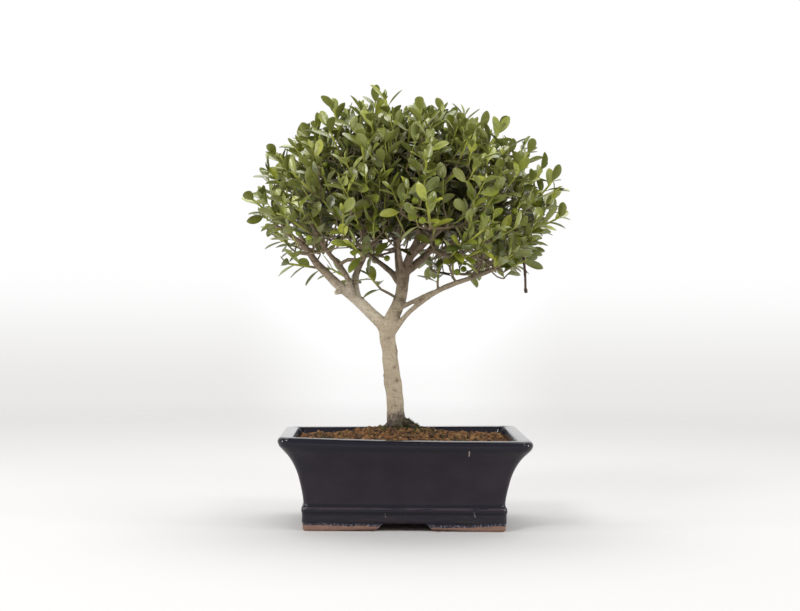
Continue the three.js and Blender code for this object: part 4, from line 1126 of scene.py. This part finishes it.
def clay_granule_material():
    paint = Paint("fired_clay_granules")
    tone = paint.mark("tone")
    grain = paint.noise(1.6, 6, 0.7)
    warm = paint.blend(tone.ranged(0.0, 0.6), (45, 31, 21), (130, 94, 55))
    ruddy = tone.ranged(0.42, 0.5) * tone.ranged(0.74, 0.66)
    warm = paint.blend(ruddy * 0.5, warm, (122, 74, 42))
    warm = paint.blend(tone.ranged(0.8, 1.0), warm, (162, 124, 78))
    colour = paint.blend(grain.ranged(0.4, 0.75) * 0.55, warm, (66, 42, 26))
    paint.set({"Base Color": colour, "Roughness": 0.95})
    paint.bump(grain, 0.7, 0.0005)
    return paint.material


def near_spot(paint, mottle, spot, radius):
    """1 near a place on the bark, with a broken edge, 0 elsewhere."""
    centre = [a + 1000 * b for a, b in zip(spot, POT_CENTRE)]
    away = paint.add("VectorMath", "Value", {0: paint.place(), 1: centre}, operation="DISTANCE")
    return (away + mottle * 9.0).ranged(radius + 5.2, 0.4 * radius + 3.8, 0.0, 0.75)


def bark_material():
    """Beige grey bark with dark lenticels, browner towards the twigs and dark with moss at its foot, with
    painted light on the left limb and painted shade on the middle under the crown.
    """
    paint = Paint("grey_bark")
    x, y, z = paint.axes()
    patches = paint.noise(0.07, 4)
    mottle = paint.noise(0.5, 6, 0.65)
    pale = paint.blend(patches, (138, 123, 100), (197, 183, 158))
    # Painted light: the left limb, in the crown's shade, is painted paler and turns brown later.
    painted_light_left_limb = x.ranged(-18, -27) * z.ranged(158, 172) * z.ranged(206, 190)
    pale = paint.blend(painted_light_left_limb * 0.5, pale, (212, 201, 182))
    brown = paint.blend(patches, (104, 86, 68), (156, 138, 116))
    # Painted shade: the middle under the crown turns brown lower down than elsewhere.
    middle = x.ranged(-18, -12) * x.ranged(16, 11)
    age_and_painted_shading = z + patches * 40.0 + middle * 14.0 - painted_light_left_limb * 10.0
    colour = paint.blend(age_and_painted_shading.ranged(203, 244), pale, brown)
    stained = age_and_painted_shading.ranged(190, 226) * paint.noise(0.2, 5, 0.6).ranged(0.48, 0.62)
    colour = paint.blend(stained * 0.65, colour, (88, 69, 52))
    colour = paint.blend(mottle.ranged(0.5, 0.7) * 0.6, colour, (122, 103, 80))
    dots = paint.spots(0.2).ranged(0.06, 0.15, 1.0, 0.0)
    dashes = paint.spots(0.26, (0.4, 0.4, 1.5)).ranged(0.05, 0.14, 1.0, 0.0)
    marks = dots.math("MAXIMUM", dashes)
    colour = paint.blend(marks * 0.6, colour, (74, 58, 42))
    rings = paint.noise(0.35, 3, stretch=(0.25, 0.25, 2.2))
    colour = paint.blend(rings.ranged(0.56, 0.68) * 0.35, colour, (126, 108, 84))
    for *spot, radius in SCARS:
        colour = paint.blend(near_spot(paint, mottle, spot, radius), colour, (84, 66, 46))
    dead_twig = x.ranged(90, 93) * z.ranged(226, 220)
    colour = paint.blend(dead_twig, colour, (72, 52, 40))
    low = z - mottle * 26.0 - x * 0.35
    dark = paint.blend(mottle.ranged(0.4, 0.6), (70, 55, 44), (34, 26, 22))
    colour = paint.blend(low.ranged(88, 72, 0.0, 0.95), colour, dark)
    green = low.ranged(74, 64) * patches.ranged(0.42, 0.56)
    colour = paint.blend(green * 0.7, colour, (70, 76, 30))
    paint.set({"Base Color": colour, "Roughness": 0.78})
    paint.bump(mottle + marks * -0.6 + rings * 0.5, 0.6, 0.0007)
    return paint.material


def twig_material():
    """Brown grey at the foot of a twig, turning yellow green towards its tip."""
    paint = Paint("young_twig")
    mottle = paint.noise(0.8, 5)
    old = paint.blend(mottle, (84, 70, 50), (136, 118, 90))
    young = paint.blend(mottle, (136, 142, 48), (184, 186, 80))
    colour = paint.blend(paint.mark("along").ranged(0.25, 0.65), old, young)
    paint.set({"Base Color": colour, "Roughness": 0.6})
    paint.bump(mottle, 0.3, 0.0003)
    return paint.material


def leaf_material():
    """Glossy dark green above with a paler midrib and veins, matt and yellower below, and dark with painted
    shade deep inside the crown.
    """
    paint = Paint("holly_leaf")
    tone = paint.mark("tone")
    across = paint.mark("across").size()
    under = paint.mark("under")
    patch = paint.noise(0.22, 4)
    top = paint.blend(tone.ranged(0.0, 0.75), (66, 78, 22), (120, 128, 36))
    top = paint.blend(tone.ranged(0.7, 1.0), top, (168, 171, 58))
    top = paint.blend(paint.mark("young") * 0.4, top, (158, 164, 48))
    top = paint.blend(patch.ranged(0.45, 0.7) * 0.35, top, (60, 70, 24))
    rib = across.ranged(0.02, 0.085, 1.0, 0.0)
    wave = ((paint.mark("along") - across * 0.22) * 44.0).math("SINE")
    veins = wave.ranged(0.86, 1.0) * across.ranged(0.9, 0.3)
    top = paint.blend(rib * 0.4, top, (142, 150, 72))
    top = paint.blend(veins * 0.12, top, (134, 144, 72))
    bottom = paint.blend(tone, (112, 120, 48), (140, 146, 66))
    bottom = paint.blend(rib * 0.4, bottom, (158, 162, 86))
    # Painted shade: leaves deep inside the crown are painted dark olive.
    colour = paint.blend(paint.mark("crown_painted_shade") * 0.8, paint.blend(under, top, bottom), (52, 52, 20))
    paint.set({"Base Color": colour, "Roughness": under * 0.28 + (patch * 0.14 + 0.27),
               "Specular IOR Level": 0.72, "Coat Weight": 0.5, "Coat Roughness": 0.26})
    paint.bump(rib * -1.0 + veins * -0.4, 0.35, 0.0002)
    return paint.material


def berry_material():
    """Unripe green berry with a dark scar at its tip and a green stalk."""
    paint = Paint("green_berry")
    mottle = paint.noise(0.6, 3)
    green = paint.blend(mottle, (112, 126, 26), (146, 158, 46))
    colour = paint.blend(paint.mark("along").ranged(0.955, 0.985), green, (52, 44, 24))
    paint.set({"Base Color": colour, "Roughness": 0.28})
    paint.bump(mottle, 0.15, 0.0002)
    return paint.material


def moss_material():
    paint = Paint("moss")
    colour = paint.blend(paint.mark("tone"), (36, 28, 18), (116, 116, 42))
    paint.set({"Base Color": colour, "Roughness": 0.9})
    return paint.material


def screen_material():
    paint = Paint("screen_plastic")
    tone = paint.noise(0.5, 4)
    paint.set({"Base Color": paint.blend(tone, (26, 36, 31), (38, 50, 43)), "Roughness": 0.6})
    paint.bump(tone, 0.2, 0.0002)
    return paint.material


def floor_material():
    """Pale matt floor, painted a little darker near the camera as painted shade against the front lamps,
    that melts into the pale background with the distance from the pot.
    """
    paint = Paint("studio_floor")
    colour = paint.blend(paint.axes()[1].ranged(-160, 560), FLOOR_NEAR, FLOOR_FAR)
    paint.set({"Base Color": colour, "Roughness": 0.9, "Specular IOR Level": 0.15})
    own = paint.add("TexCoord", "Object", {})
    melted = paint.add("VectorMath", "Value", {0: own}, operation="LENGTH").ranged(*FLOOR_MELTS)
    clear = paint.add("BsdfTransparent", 0, {})
    matt = Value(paint, paint.shader.outputs[0])
    paint.feed(paint.out.inputs["Surface"], paint.add("MixShader", 0, {0: melted, 1: matt, 2: clear}))
    return paint.material


def backdrop_material():
    """Glowing paper behind the pot, painted light: brighter high up and in a pool behind the pot, greyer
    near the floor and to the sides.
    """
    paint = Paint("studio_backdrop", "Emission")
    x, _, z = paint.axes()
    beside = (x - 96).size().ranged(600, 120, 0.0, 0.8)
    lit = z.ranged(-130, 330).math("ADD", beside, clamp=True)
    paint.set({"Color": paint.blend(lit, BACKDROP_LOW, (1, 1, 1, 1))})
    return paint.material


# Camera, light and floor

def add_camera():
    forward = np.array([math.sin(CAMERA_YAW) * math.cos(CAMERA_PITCH),
                        math.cos(CAMERA_YAW) * math.cos(CAMERA_PITCH), math.sin(CAMERA_PITCH)])
    right = np.array([math.cos(CAMERA_YAW), -math.sin(CAMERA_YAW), 0.0])
    up = cross(right, forward)
    rolled_right = right * math.cos(CAMERA_ROLL) + up * math.sin(CAMERA_ROLL)
    rolled_up = up * math.cos(CAMERA_ROLL) - right * math.sin(CAMERA_ROLL)
    camera = bpy.data.cameras.new("camera")
    camera.sensor_fit = "HORIZONTAL"
    camera.sensor_width = SENSOR_WIDTH
    camera.lens = FOCAL_PIXELS / IMAGE_WIDTH * SENSOR_WIDTH
    camera.clip_end = CAMERA_CLIP_END
    obj = bpy.data.objects.new("camera", camera)
    place = np.array(CAMERA_PLACE) / 1000 + POT_CENTRE
    rows = [[rolled_right[i], rolled_up[i], -forward[i], place[i]] for i in range(3)] + [[0, 0, 0, 1]]
    obj.matrix_world = Matrix(rows)
    bpy.context.scene.collection.objects.link(obj)
    bpy.context.scene.camera = obj


def add_light(name, place, size, power):
    light = bpy.data.lights.new(name, "AREA")
    light.shape = "RECTANGLE"
    light.size, light.size_y = size
    light.energy = power
    obj = bpy.data.objects.new(name, light)
    obj.location = place
    obj.rotation_euler = (Vector(LIGHT_TARGET) - Vector(place)).to_track_quat("-Z", "Y").to_euler()
    bpy.context.scene.collection.objects.link(obj)


def add_stage_sheet(name, corners, material):
    mesh = bpy.data.meshes.new(name)
    mesh.from_pydata(corners, [], [(0, 1, 2, 3)])
    mesh.materials.append(material)
    obj = bpy.data.objects.new(name, mesh)
    bpy.context.scene.collection.objects.link(obj)


def add_studio():
    world = bpy.data.worlds.new("studio")
    bpy.context.scene.world = world
    world.use_nodes = True
    background = next(n for n in world.node_tree.nodes if n.type == "BACKGROUND")
    background.inputs["Color"].default_value = WORLD_COLOUR
    background.inputs["Strength"].default_value = WORLD_LIGHT
    for name, (place, size, power) in SOFTBOXES.items():
        add_light(name, place, size, power)
    bpy.context.scene.view_settings.view_transform = "Standard"
    bpy.context.scene.view_settings.look = "None"
    add_stage_sheet("floor", FLOOR, floor_material())
    add_stage_sheet("backdrop", BACKDROP, backdrop_material())


# Pot

def warp(x, y, height):
    rise = np.maximum(0, (height - POT_FLOOR) / (POT_HEIGHT - POT_FLOOR))
    twist = KILN_TWIST * (x / (RIM_LENGTH / 2)) * (y / (RIM_WIDTH / 2))
    sag = FRONT_RIM_SAG * (1 - (x / (RIM_LENGTH / 2)) ** 2) * (0.5 - y / RIM_WIDTH)
    return rise * (twist - sag)


def pot_outline(inset):
    half_length = RIM_LENGTH / 2 - inset
    half_width = RIM_WIDTH / 2 - inset
    corner = RIM_CORNER - CORNER_TIGHTENING * inset
    points = []
    for quarter, (sx, sy) in enumerate([(1, 1), (-1, 1), (-1, -1), (1, -1)]):
        for step in range(CORNER_STEPS + 1):
            angle = (quarter + step / CORNER_STEPS) * math.pi / 2
            points.append((sx * (half_length - corner) + corner * math.cos(angle),
                           sy * (half_width - corner) + corner * math.sin(angle)))
        nx, ny = [(-1, 1), (-1, -1), (1, -1), (1, 1)][quarter]
        angle = (quarter + 1) * math.pi / 2
        start = np.array(points[-1])
        end = np.array([nx * (half_length - corner) + corner * math.cos(angle),
                        ny * (half_width - corner) + corner * math.sin(angle)])
        points += [tuple(mix(start, end, step / SIDE_STEPS)) for step in range(1, SIDE_STEPS)]
    return np.array(points)


def foot_lift(x, height):
    """Kiln warp of the feet: their ground edge rises a little towards the middle of the long sides."""
    middle = np.clip((FOOT_LEVEL_FROM - np.abs(x)) / (FOOT_LEVEL_FROM - LONG_ARCH[1]), 0, 1)
    return FOOT_WARP * middle ** FOOT_WARP_POWER * np.clip(1 - height / FOOT_HEIGHT, 0, 1)


def pot_ring(height, inset):
    outline = pot_outline(inset)
    x, y = outline.T
    return np.column_stack([x, y, height + warp(x, y, height)])


def arch_prism(top_ground, span, crosswise):
    """A tunnel under the pot, as points and faces."""
    top, ground = top_ground
    curve = [((1 - t) ** 2 * ground + 2 * (1 - t) * t * (top + ARCH_SWELL) + t * t * top,
              2 * (1 - t) * t * ARCH_RISE + t * t * FOOT_HEIGHT) for t in np.linspace(0, 1, ARCH_STEPS)]
    outline = [(ground, -1)] + curve + [(-x, z) for x, z in reversed(curve)] + [(-ground, -1)]
    points = [(-y, x, z) if crosswise else (x, y, z) for y in (span / 2, -span / 2) for x, z in outline]
    return points, loft_faces(2, len(outline))


def recess_prism():
    inset = OUTER_WALL[1][1] + FOOT_BREADTH
    points = np.vstack([pot_ring(-1, inset), pot_ring(FOOT_HEIGHT, inset + 1)])
    return points, loft_faces(2, len(points) // 2)


def drain_prism(x):
    angles = np.linspace(0, 2 * math.pi, DRAIN_SIDES + 1)[:-1]
    points = [(x + DRAIN_RADIUS * math.cos(a), DRAIN_RADIUS * math.sin(a), z)
              for z in (0.5 * FOOT_HEIGHT, 2 * POT_FLOOR) for a in angles]
    return points, loft_faces(2, DRAIN_SIDES)


def apply_modifiers(obj):
    bpy.context.view_layer.update()
    evaluated = obj.evaluated_get(bpy.context.evaluated_depsgraph_get())
    mesh = bpy.data.meshes.new_from_object(evaluated)
    obj.modifiers.clear()
    obj.data = mesh


def cut(obj, points, faces):
    """Take a closed shape out of the object."""
    cutter = make_object("cutter", points, faces, obj.data.materials[0])
    modifier = obj.modifiers.new("cut", "BOOLEAN")
    modifier.operation = "DIFFERENCE"
    modifier.solver = "EXACT"
    modifier.object = cutter
    apply_modifiers(obj)
    bpy.data.objects.remove(cutter)


def add_pot(glaze):
    wall = [*smooth_line(OUTER_WALL, WALL_STEPS), *smooth_line(INNER_WALL, WALL_STEPS)]
    rows = [pot_ring(height, inset) for height, inset in wall]
    for row in rows:
        row[:, 2] += foot_lift(row[:, 0], row[:, 2])
    pot = make_object("glazed_pot", np.vstack(rows), loft_faces(len(rows), len(rows[0])), glaze)
    cut(pot, *arch_prism(LONG_ARCH, RIM_WIDTH, False))
    cut(pot, *arch_prism(SHORT_ARCH, RIM_LENGTH, True))
    cut(pot, *recess_prism())
    for x in (-DRAIN_OFFSET, DRAIN_OFFSET):
        cut(pot, *drain_prism(x))
    pot.data.polygons.foreach_set("use_smooth", [True] * len(pot.data.polygons))
    pot.data.set_sharp_from_angle(angle=SHARP_GLAZE)
    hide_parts("pot", *FEET)
    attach(pot, "root")


# Soil and moss

def soil_top(x, y):
    away = (x - TRUNK[0][0]) ** 2 + (y - TRUNK[0][1]) ** 2
    mound = SOIL_MOUND * np.exp(-away / (2 * MOUND_SPREAD ** 2))
    bumps = SOIL_BUMP * np.sin(x * 0.31 + y * 0.17) * np.cos(y * 0.37 - x * 0.11)
    return SOIL_EDGE + mound + bumps


def soil_inset():
    return along(list(reversed(INNER_WALL[1:])), SOIL_EDGE) + GAP


def add_soil(material):
    outline = pot_outline(soil_inset())
    rows = []
    for height, inset in reversed(INNER_WALL):
        if height < SOIL_EDGE:
            lift = GAP if height == POT_FLOOR else 0
            rows.append(pot_ring(height + lift, inset + GAP))
    for share in np.linspace(1, 0.03, BED_RINGS):
        x, y = (outline * share).T
        rough = [BED_ROUGHNESS * noise.noise(Vector((a * BED_GRAIN, b * BED_GRAIN, 1.3)))
                 for a, b in zip(x, y)]
        rows.append(np.column_stack([x, y, soil_top(x, y) + warp(x, y, soil_top(x, y)) + rough]))
    points = np.vstack(rows)
    tones = [0.12 + 0.5 * abs(noise.noise(Vector(p * 0.5))) for p in points]
    bed = make_object("soil_bed", points, loft_faces(len(rows), len(outline)), material,
                      {"tone": ("POINT", tones)})
    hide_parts("soil")
    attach(bed, "root")
    add_granules(material)


def ball_template(level):
    """Unit ball of triangles, with the points that share a place joined."""
    mesh = bpy.data.meshes.new("ball")
    work = bmesh.new()
    bmesh.ops.create_icosphere(work, subdivisions=level, radius=1.0)
    work.to_mesh(mesh)
    work.free()
    points = np.array([v.co for v in mesh.vertices])
    faces = np.array([tuple(p.vertices) for p in mesh.polygons])
    bpy.data.meshes.remove(mesh)
    return points, faces


def add_granules(material):
    random = np.random.default_rng(GRANULE_SEED)
    balls = [ball_template(1), ball_template(2)]
    inset = soil_inset()
    points, faces, tones = [], [], []
    first = 0
    for _ in range(GRANULE_TRIES):
        size = GRANULE_SMALLEST + GRANULE_SPAN * random.random() ** GRANULE_POWER
        half_x = RIM_LENGTH / 2 - inset - 0.8 * size
        half_y = RIM_WIDTH / 2 - inset - 0.8 * size
        x, y = random.uniform(-half_x, half_x), random.uniform(-half_y, half_y)
        if math.hypot(x - TRUNK[1][0], y - TRUNK[1][1]) < TRUNK_CLEARANCE + size:
            continue
        ball, tri = balls[1 if size > ROUND_GRANULE else 0]
        turn = np.linalg.qr(random.normal(size=(3, 3)))[0]
        if np.linalg.det(turn) < 0:
            turn[:, 0] = -turn[:, 0]
        lump = ball * (1 + 0.5 * (random.random((len(ball), 1)) - 0.5)) * random.uniform(*GRANULE_STRETCH, 3)
        height = float(soil_top(x, y) + warp(x, y, soil_top(x, y)))
        points.append(lump @ turn.T * size + [x, y, height + size * random.uniform(*GRANULE_LIFT)])
        faces.append(tri + first)
        tones += [random.random()] * len(ball)
        first += len(ball)
    granules = make_object("soil_granules", np.vstack(points), np.vstack(faces), material,
                           {"tone": ("POINT", tones)}, smooth=False)
    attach(granules, "root")


def moss_spots(bark, random):
    """Points and directions of tufts: a patch round the trunk, some specks, and the foot of the bark."""
    spots = []
    for _ in range(MOSS_TRIES):
        angle = random.uniform(0, 2 * math.pi)
        away = MOSS_FROM + abs(random.normal(0, MOSS_SPREAD))
        x = TRUNK[1][0] + away * math.cos(angle) * 1.25
        y = TRUNK[1][1] + away * math.sin(angle)
        if noise.noise(Vector((x * 0.14, y * 0.14, 4.7))) > -0.02 + 0.012 * (away - MOSS_FROM):
            spots.append((np.array([x, y, float(soil_top(x, y)) - 0.2]), UP))
    for _ in range(MOSS_SPECKS):
        x, y = random.uniform(-70, 70), random.uniform(-48, 48)
        height = float(soil_top(x, y)) + 0.6
        for _ in range(SPECK_TUFTS):
            spots.append((np.array([x + random.normal(0, 0.8), y + random.normal(0, 0.8), height]), UP))
    places, normals = bark
    lowest = soil_top(places[:, 0], places[:, 1])
    highest = BARK_MOSS_TOP + 0.45 * (places[:, 0] + 6)
    near = np.flatnonzero((places[:, 2] > lowest) & (places[:, 2] < highest))
    for i in random.choice(near, BARK_TUFTS, replace=False):
        if noise.noise(Vector((places[i] * 0.2).tolist())) > -0.12:
            spots.append((places[i] - normals[i] * 0.3, normals[i]))
    return spots


def add_moss(material, bark):
    """Tufts of pointed shoots on the soil round the trunk, over the roots and up the bark."""
    random = np.random.default_rng(MOSS_SEED)
    points, faces, tones = [], [], []
    for base, up in moss_spots(bark, random):
        wide = random.uniform(*TUFT_WIDTH)
        across = unit(cross(up, np.array([0.3, 0.9, 0.2])))
        upward = cross(up, across)
        tip = base + up * random.uniform(*TUFT_HEIGHT)
        tip = tip + across * random.normal(0, 0.5) + upward * random.normal(0, 0.5)
        spin = random.uniform(0, 2 * math.pi)
        first = len(points)
        for k in range(3):
            angle = spin + 2 * math.pi * k / 3
            points.append(base + (across * math.cos(angle) + upward * math.sin(angle)) * wide)
        points.append(tip)
        faces += [(first, first + 1, first + 3), (first + 1, first + 2, first + 3),
                  (first + 2, first, first + 3), (first, first + 2, first + 1)]
        tones += [random.random() * (0.9 if up is UP else 0.3)] * 4
    moss = make_object("moss", points, faces, material, {"tone": ("POINT", tones)})
    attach(moss, "root")


# Wood

def wood_tubes():
    """Path and number of sides of every tube, thinned where the look is slimmer than the part."""
    slim = [*zip(ROOTS, SLIM_ROOTS), *((path, SLIM_LIMBS.get(name, 1)) for name, path in LIMBS.items())]
    slim = [[[*row[:3], row[3] * share] for row in path] for path, share in slim]
    sides = [ROOT_SIDES] * len(ROOTS) + [LIMB_SIDES] * len(LIMBS)
    return [(TRUNK, TRUNK_SIDES), *zip(slim, sides), *((knot, KNOT_SIDES) for knot in KNOTS)]


def roughen(mesh):
    """Push the skin in and out a little; returns its points and directions."""
    place = np.zeros(len(mesh.vertices) * 3, np.float32)
    facing = np.zeros_like(place)
    mesh.vertices.foreach_get("co", place)
    mesh.vertices.foreach_get("normal", facing)
    place, facing = place.reshape(-1, 3), facing.reshape(-1, 3)
    rough = [noise.fractal(Vector((p * BARK_GRAIN).tolist()), 1.0, 2.0, 3) for p in place]
    place += facing * (np.array(rough, np.float32) * BARK_ROUGHNESS)[:, None]
    mesh.vertices.foreach_set("co", place.ravel())
    return place, facing


def add_wood(material):
    """Trunk, roots and limbs as rounded tubes, melted into one skin and roughened."""
    points, faces = [], []
    for number, (path, sides) in enumerate(wood_tubes()):
        more, skin, _ = tube_mesh(path, sides, LIMB_STEPS, len(points), LIMB_LUMPS, 7.3 * number)
        points += more
        faces += skin
    wood = make_object("bark_wood", points, faces, material)
    melt = wood.modifiers.new("melt", "REMESH")
    melt.mode = "VOXEL"
    melt.voxel_size = WOOD_VOXEL
    soften = wood.modifiers.new("soften", "SMOOTH")
    soften.factor = WOOD_SOFTENING
    soften.iterations = WOOD_SOFTENINGS
    apply_modifiers(wood)
    place, facing = roughen(wood.data)
    wood.data.polygons.foreach_set("use_smooth", [True] * len(wood.data.polygons))
    if not wood.data.materials:
        wood.data.materials.append(material)
    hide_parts("wood")
    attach(wood, "root")
    return (place.astype(float) - POT_CENTRE) * 1000, facing.astype(float)


# Foliage

def half_width(t):
    """Share of half the leaf's width along it: a short stalk, then an oval with a blunt tip."""
    body = np.clip((t - STALK_SHARE) / (1 - STALK_SHARE), 0, 1)
    blade = body ** 0.85 * (1 - body) ** 0.66 / BLADE_PEAK
    return np.maximum(blade, 0.085 * (1 - t) + 0.012)


def leaf_template(row_shares, column_shares):
    """Shares and faces of a closed blade: the two faces share their outline."""
    rows, columns = len(row_shares), len(column_shares)
    t = np.repeat(row_shares, columns)
    u = np.tile(column_shares, rows)
    inner = np.abs(u) < 1
    below = {int(i): rows * columns + n for n, i in enumerate(np.flatnonzero(inner))}
    shares = np.vstack([np.column_stack([t, u, np.where(inner, 1.0, 0.0)]),
                        np.column_stack([t[inner], u[inner], -np.ones(inner.sum())])])
    faces, under = [], []
    for r in range(rows - 1):
        for c in range(columns - 1):
            quad = [r * columns + c, r * columns + c + 1, (r + 1) * columns + c + 1, (r + 1) * columns + c]
            faces.append(tuple(quad[::-1]))
            under.append(0.0)
            faces.append(tuple(below.get(i, i) for i in quad))
            under.append(1.0)
    for r, flip in ((0, True), (rows - 1, False)):
        edge = [r * columns + c for c in range(columns)]
        for a, b in zip(edge, edge[1:]):
            cap = [a, b, below.get(b, b), below.get(a, a)]
            cap = [i for n, i in enumerate(cap) if i not in cap[:n]]
            faces.append(tuple(cap if flip else cap[::-1]))
            under.append(0.0)
    return shares, faces, under


BLADES = [leaf_template(*grid) for grid in LEAF_GRIDS]


def blade_points(leaf, shares, random):
    t, u, face = shares.T
    fold = LEAF_FOLD * random.uniform(0.6, 1.25)
    droop = LEAF_DROOP * random.uniform(0.4, 1.5)
    twist = random.uniform(-0.1, 0.1)
    wide = half_width(t) * leaf["width"] * LOOK_WIDTH / 2
    lift = fold * leaf["width"] * np.abs(u) ** 1.4 * np.minimum(1, half_width(t) * 1.1)
    lift = lift - droop * leaf["length"] * t * t + twist * u * wide * t
    lift = lift + 0.12 * np.sin(9 * t + 5 * random.random()) * np.abs(u)
    thick = 0.2 * (1 - 0.45 * np.abs(u)) + 0.28 * (1 - np.minimum(1, 8 * t))
    return (leaf["base"] + np.outer(t * leaf["length"], leaf["heading"])
            + np.outer(u * wide, leaf["side"]) + np.outer(lift + face * thick, leaf["normal"]))


def tip_leaves(stem, random):
    """Two small young leaves that close the end of a stem."""
    end, before = vec(stem["path"][-1]), vec(stem["path"][-2])
    heading = unit(end - before)
    across = unit(cross(heading, UP + np.array([0.2, 0.1, 0.0])))
    turn = random.uniform(0, math.pi)
    around = across * math.cos(turn) + cross(heading, across) * math.sin(turn)
    leaves = []
    for sign in (-1, 1):
        way = unit(heading + around * sign * random.uniform(0.25, 0.6))
        face = heading * 0.6 - around * sign
        normal = unit(face - way * (face @ way))
        size = random.uniform(*CROWN_TIP_LEAVES)
        leaves.append({"base": end - heading * 0.4, "heading": way, "normal": normal,
                       "side": cross(normal, way), "length": size, "width": TIP_LEAF_WIDTH * size,
                       "young": 1.0, "grid": 1})
    return leaves


def shade_at(point):
    """0 at the outside of the crown, up to 1 deep inside it: how much painted shade darkens a leaf there."""
    away = (point - CROWN_MIDDLE) / np.array([1, CROWN_DEPTH, 1])
    far = length(away)
    elevation = math.degrees(math.asin(away[2] / far))
    across = away[0] / max(1e-6, math.hypot(away[0], away[1]))
    reach = mix(along(REACH_LEFT, elevation), along(REACH_RIGHT, elevation), (1 + across) / 2)
    return float(np.interp(far / reach, SHADED_FROM[::-1], (1, 0)))


def add_leaves(name, leaves, material, random, nodes):
    points, faces, under, across, along_it = [], [], [], [], []
    marks = {"tone": [], "young": [], "crown_painted_shade": []}
    first = 0
    for leaf in leaves:
        shares, skin, below = BLADES[leaf["grid"]]
        points.append(blade_points(leaf, shares, random))
        faces += [tuple(i + first for i in face) for face in skin]
        under += below
        across += list(shares[:, 1])
        along_it += list(shares[:, 0])
        for key, value in (("tone", random.random()), ("young", leaf["young"]),
                           ("crown_painted_shade", shade_at(leaf["base"] + leaf["heading"] * leaf["length"] / 2))):
            marks[key] += [value] * len(shares)
        first += len(shares)
    looks = {key: ("POINT", values) for key, values in marks.items()}
    looks.update({"under": ("FACE", under), "across": ("POINT", across), "along": ("POINT", along_it)})
    obj = make_object(name, np.vstack(points), faces, material, looks, sharp=SHARP_LEAF)
    if nodes:
        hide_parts(*nodes)
    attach(obj, "root")


def add_twigs(name, stems, material):
    points, faces, shares = [], [], []
    for stem in stems:
        more, skin, share = tube_mesh(stem["path"], TWIG_SIDES, TWIG_STEPS, len(points), TWIG_LUMPS)
        points += more
        faces += skin
        shares += share
    obj = make_object(name, points, faces, material, {"along": ("POINT", shares)})
    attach(obj, "root")


def add_berries(berries, material):
    """Round berries with a small scar at the tip, each on a curved stalk."""
    points, faces, shares = [], [], []
    profile = [(0.0, 0.42), (1.6, 0.38), (BERRY_STALK - 0.2, 0.45)]
    for step in range(1, BERRY_ROUND_STEPS):
        angle = math.pi * step / BERRY_ROUND_STEPS
        profile.append((BERRY_STALK + BERRY_RADIUS * (1 - math.cos(angle)), BERRY_RADIUS * math.sin(angle)))
    profile += [(BERRY_STALK + 1.97 * BERRY_RADIUS, 0.5), (BERRY_STALK + 2.08 * BERRY_RADIUS, 0.32)]
    whole = profile[-1][0]
    for berry in berries:
        across = unit(cross(berry["heading"], UP))
        upward = cross(berry["heading"], across)
        first = len(points)
        for distance, radius in profile:
            for k in range(BERRY_SIDES):
                angle = 2 * math.pi * k / BERRY_SIDES
                points.append(berry["base"] + berry["heading"] * distance
                              + (across * math.cos(angle) + upward * math.sin(angle)) * radius)
                shares.append(distance / whole)
        faces += loft_faces(len(profile), BERRY_SIDES, first)
    obj = make_object("berries", points, faces, material, {"along": ("POINT", shares)})
    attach(obj, "root")


def add_foliage(leaf_look, twig_look, berry_look):
    shoots = all_shoots()
    room = Room()
    for path in [TRUNK, *LIMBS.values()]:
        room.add_path(path, WOOD)
    stems, buds = grow_stems(shoots, room)
    groups = []
    berries = []
    for index, stem in enumerate(stems):
        leaves, grown = grow_spray(stem, index, room, seeded_random(LEAF_SEED + index),
                                   (LEAF_CLEARANCE, STEM_CLEARANCE),
                                   lambda number, _: index % BERRY_EVERY == 0 and number == BERRY_SEAT)
        groups.append({"leaves": leaves, "stems": [stem], "at": stem["shoot"]["foot"]})
        berries += grown
    for start, end, radius in CLEAR_VIEWS:
        room.add_path([[*start, radius], [*end, radius]], WOOD)
    for stem, leaves, grown in grow_fill(room, buds, len(stems)):
        near = min(groups, key=lambda g: length(g["at"] - stem["shoot"]["foot"]))
        near["leaves"] += leaves
        near["stems"].append(stem)
        berries += grown
    random = np.random.default_rng(LOOK_SEED)
    for group in groups:
        for stem in group["stems"]:
            group["leaves"] += tip_leaves(stem, random)
    for index, group in enumerate(groups):
        label = f"{index + 1:02d}"
        add_leaves(f"leaves_{label}", group["leaves"], leaf_look, random, [f"spray_{label}"])
        add_twigs(f"twigs_{label}", group["stems"], twig_look)
    add_berries(berries, berry_look)


def dress_screens(material):
    for name in ("drain_screen_left", "drain_screen_right"):
        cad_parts[name].data.materials.clear()
        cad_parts[name].data.materials.append(material)


add_camera()
add_studio()
add_pot(glaze_material())
add_soil(clay_granule_material())
bark_skin = add_wood(bark_material())
add_moss(moss_material(), bark_skin)
add_foliage(leaf_material(), twig_material(), berry_material())
dress_screens(screen_material())
